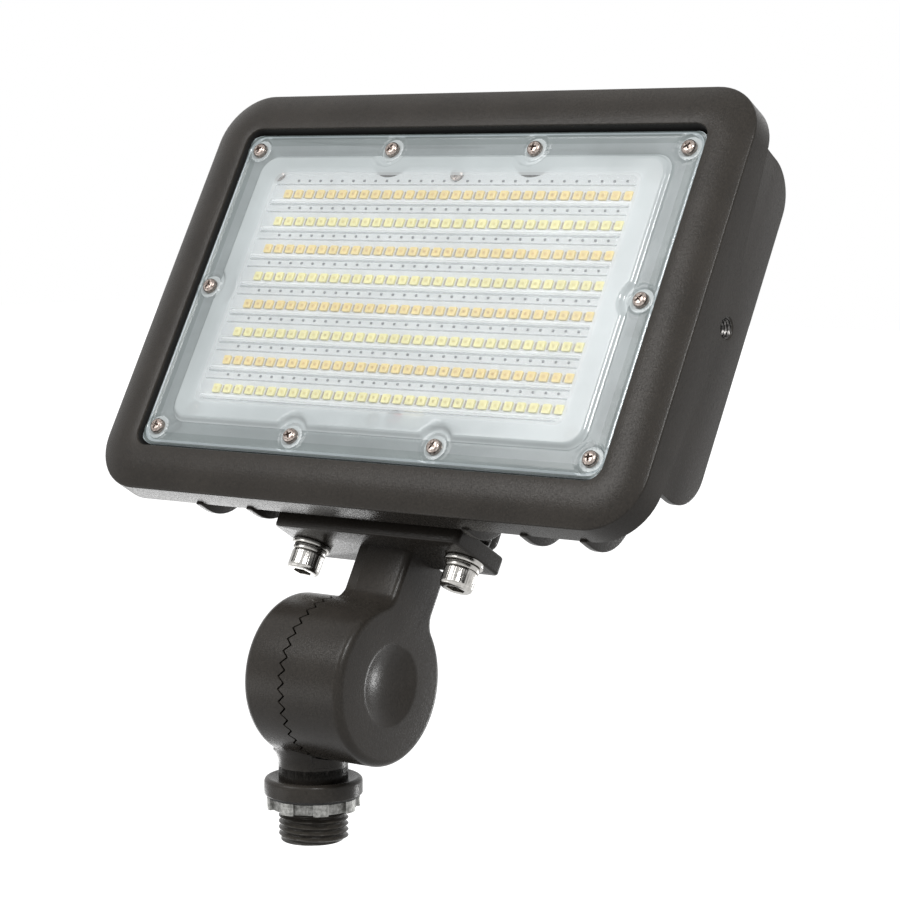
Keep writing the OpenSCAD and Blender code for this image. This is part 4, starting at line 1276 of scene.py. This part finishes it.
@dataclass
class LampField:
    """Lamps, pads and dark marks between the lamps on the board, which are painted shade."""

    shop: Workshop
    pitch: float = 129.0 / 29
    row_pitch: float = 9.8
    rows: int = 8
    count: int = 30
    board: float = 33.3

    def row_heights(self) -> Array:
        """Height of each row, counted from the top."""
        return ((self.rows - 1) / 2 - np.arange(self.rows)) * self.row_pitch

    def lamp(self) -> Shell:
        """One lamp: a round-cornered square that narrows upwards."""
        half_w, half_h = np.array([1.4, 1.4, 1.36, 1.2]), np.array([1.45, 1.45, 1.41, 1.25])
        radius, height = np.array([0.35, 0.35, 0.35, 0.5]), np.array([0.0, 0.58, 0.68, 0.7])
        return loft(rect_rings(half_w, half_h, radius, height, arc=2))

    def gel(self) -> Shell:
        """Domed disc of gel in the lamp's top."""
        return turned([(0.85, 0.6), (0.8, 0.69), (0.5, 0.7)], 12)

    def spots(self, rows: Array, shift: float = 0.0, count: int | None = None) -> Array:
        """Places of the lamps of some rows, row by row."""
        n = self.count if count is None else count
        u = (np.arange(n) - (self.count - 1) / 2) * self.pitch + shift
        grid = np.stack(np.meshgrid(u, rows), -1).reshape(-1, 2)
        return np.concatenate((grid, np.full((len(grid), 1), self.board)), -1)

    def build(self) -> None:
        """Makes lamps, pads and the dark marks between lamps, which are painted shade."""
        rows = self.row_heights()
        lamp = self.lamp() + self.gel().finished(1)
        for kind, first in (("warm", 0), ("cool", 1)):
            shell = lamp.repeated(self.spots(rows[first::2]))
            self.shop.make(kind + "_lamps", shell, Place.FACE, "head", kind + "_phosphor",
                           (kind + "_body", kind + "_gel"), (kind + "_leds",), 50.0)
        low = np.array([-0.02, 0.2, 0.26])
        pad = loft(rect_rings(np.array([0.42, 0.42, 0.36]), np.array([0.36, 0.36, 0.3]), 0.12, low, arc=1))
        # The marks between the lamps are painted shade.
        track = loft(rect_rings(0.26, 1.2, 0.05, np.array([-0.02, 0.12]), arc=1))
        for name, shell, shift in (("pad", pad, 5.0), ("track", track, 0.0)):
            shells = shell.repeated(self.spots(rows + shift, 0.5 * self.pitch, self.count - 1))
            self.shop.make(f"board_{name}s", shells, Place.FACE, "head", "white_board", (name,))


@dataclass
class InnerParts:
    """Nodes whose shape is right as it is, and the ones that only need round edges."""

    shop: Workshop

    def build(self) -> None:
        """Dresses the nodes."""
        dressed = {
            "rubber": ("stub_gasket", "knuckle_seal", "plate_gasket", "lens_gasket", "cover_gasket"),
            "stainless": ("knuckle_washer", "knuckle_spring_washer", "knuckle_bolt", "board_screws",
                          "driver_screws", "cover_screws"),
            "board": ("led_board",),
            "red": ("led_leads",),
            "black": ("supply_leads",),
        }
        for key, nodes in dressed.items():
            for node in nodes:
                self.shop.dress(node, key)
        for node, body, slot, key, width in (
            ("rear_cover", "head", "bronze_coat", "bronze", 0.5),
            ("driver", "head", "driver_case", "case", 0.6),
            ("board_connector", "head", "ivory_plastic", "ivory", 0.3),
            ("switch_body", "head", "black_plastic", "black", 0.2),
            ("switch_cap", "head", "black_rubber", "rubber", 0.3),
            ("switch_lever", "lever", "white_plastic", "white", 0.15),
        ):
            self.shop.soften(node, body, slot, key, width)


@dataclass(frozen=True)
class Studio:
    """Camera, floor, world and lamps of the plain studio."""

    camera_at: Triple = (0.5170, -0.6120, 0.1844)
    right: Triple = (0.7959, 0.6054, 0.0)
    up: Triple = (-0.0610, 0.0802, 0.9949)
    back: Triple = (0.6023, -0.7918, 0.1007)
    focal_mm: float = 108.506
    sky_light: float = 0.36
    floor_z: float = -0.24
    floor_half: float = 6.0
    floor_grey: float = 0.32

    def camera(self) -> None:
        """Places the camera at the photograph's viewing angle."""
        data = bpy.data.cameras.new("view")
        data.sensor_width = 36.0
        data.lens = self.focal_mm
        data.clip_start = 0.01
        eye = bpy.data.objects.new("view", data)
        turn = Matrix((self.right, self.up, self.back)).transposed()
        eye.matrix_world = Matrix.Translation(self.camera_at) @ turn.to_4x4()
        bpy.context.scene.collection.objects.link(eye)
        bpy.context.scene.camera = eye

    def lamp(self, name: str, at: Triple, aim: Triple, size: tuple[float, float], watts: float) -> None:
        """Adds one soft lamp.

        Args:
            name: name of the lamp.
            at: place in metres.
            aim: point that it faces.
            size: width and height in metres.
            watts: power.
        """
        data = bpy.data.lights.new(name, "AREA")
        data.shape = "RECTANGLE"
        data.size, data.size_y = size
        data.energy = watts
        lamp = bpy.data.objects.new(name, data)
        lamp.visible_camera = False
        way = Vector(aim) - Vector(at)
        lamp.matrix_world = Matrix.Translation(at) @ way.to_track_quat("-Z", "Y").to_matrix().to_4x4()
        bpy.context.scene.collection.objects.link(lamp)

    def world(self) -> None:
        """Pale world: white for what the camera, gloss and glass see, dimmer as a light."""
        world = bpy.data.worlds.new("studio")
        world.use_nodes = True
        sky = world.node_tree.nodes["Background"]
        sky.inputs["Color"].default_value = (1.0, 1.0, 1.0, 1.0)
        tree = Tree(world)
        tree.join(tree.ramp(tree.seen(), self.sky_light, 1.0, 0.0, 1.0), sky.inputs["Strength"])
        bpy.context.scene.world = world

    def floor(self) -> None:
        """Wide pale floor: matt with the object's shadow, and white where the camera looks past it.

        It glows only for what the camera, gloss and glass see: 0.8 near the object, up to 1 further out.
        """
        half, z = self.floor_half, self.floor_z
        corners = [(-half, -half, z), (half, -half, z), (half, half, z), (-half, half, z)]
        mesh = bpy.data.meshes.new("floor")
        mesh.from_pydata(corners, [], [(0, 1, 2, 3)])
        floor = bpy.data.objects.new("floor", mesh)
        tree = new_tree("floor")
        grey = self.floor_grey
        tree.fix(Base_Color=(grey, grey, grey, 1), Roughness=0.8, Emission_Color=(1, 1, 1, 1))
        reach = tree.add("ShaderNodeVectorMath", operation="LENGTH")
        tree.join(tree.add("ShaderNodeTexCoord").outputs["Object"], reach.inputs[0])
        glow = tree.math("MULTIPLY", tree.ramp(reach.outputs["Value"], 0.8, 1.0, 0.5, 1.0), tree.seen())
        tree.join(glow, tree.shader.inputs["Emission Strength"])
        mesh.materials.append(tree.owner)
        bpy.context.scene.collection.objects.link(floor)

    def build(self) -> None:
        """Makes camera, world, floor and lamps."""
        self.camera()
        self.world()
        self.floor()
        self.lamp("key", (-0.55, -0.95, 1.05), (0.02, 0.0, 0.1), (0.7, 0.7), 7.8)
        self.lamp("gleam", (0.80, -0.68, 1.04), (0.02, 0.0, 0.1), (0.32, 0.32), 11.0)
        self.lamp("kick", (-0.50, -0.60, -0.10), (0.0, 0.0, 0.06), (0.5, 0.25), 0.4)
        self.lamp("rear", (0.235, 0.78, -0.18), (0.03, 0.0, 0.04), (0.14, 0.10), 0.75)
        self.lamp("under", (-0.32, 0.15, -0.15), (-0.05, 0.0, 0.09), (0.20, 0.14), 0.26)


def main() -> None:
    """Builds studio and light."""
    logging.basicConfig(level=logging.INFO, format="%(message)s")
    bpy.context.scene.view_settings.view_transform = "Standard"
    Studio().build()
    shop = Workshop()
    lens = Lens(shop)
    lamps = LampField(shop)
    Knuckle(shop).build()
    Fasteners(shop).build(lens.spots)
    Housing(shop).build(lens.notched())
    lens.build(lamps.row_heights())
    lamps.build()
    InnerParts(shop).build()


if __name__ == "__main__":
    main()
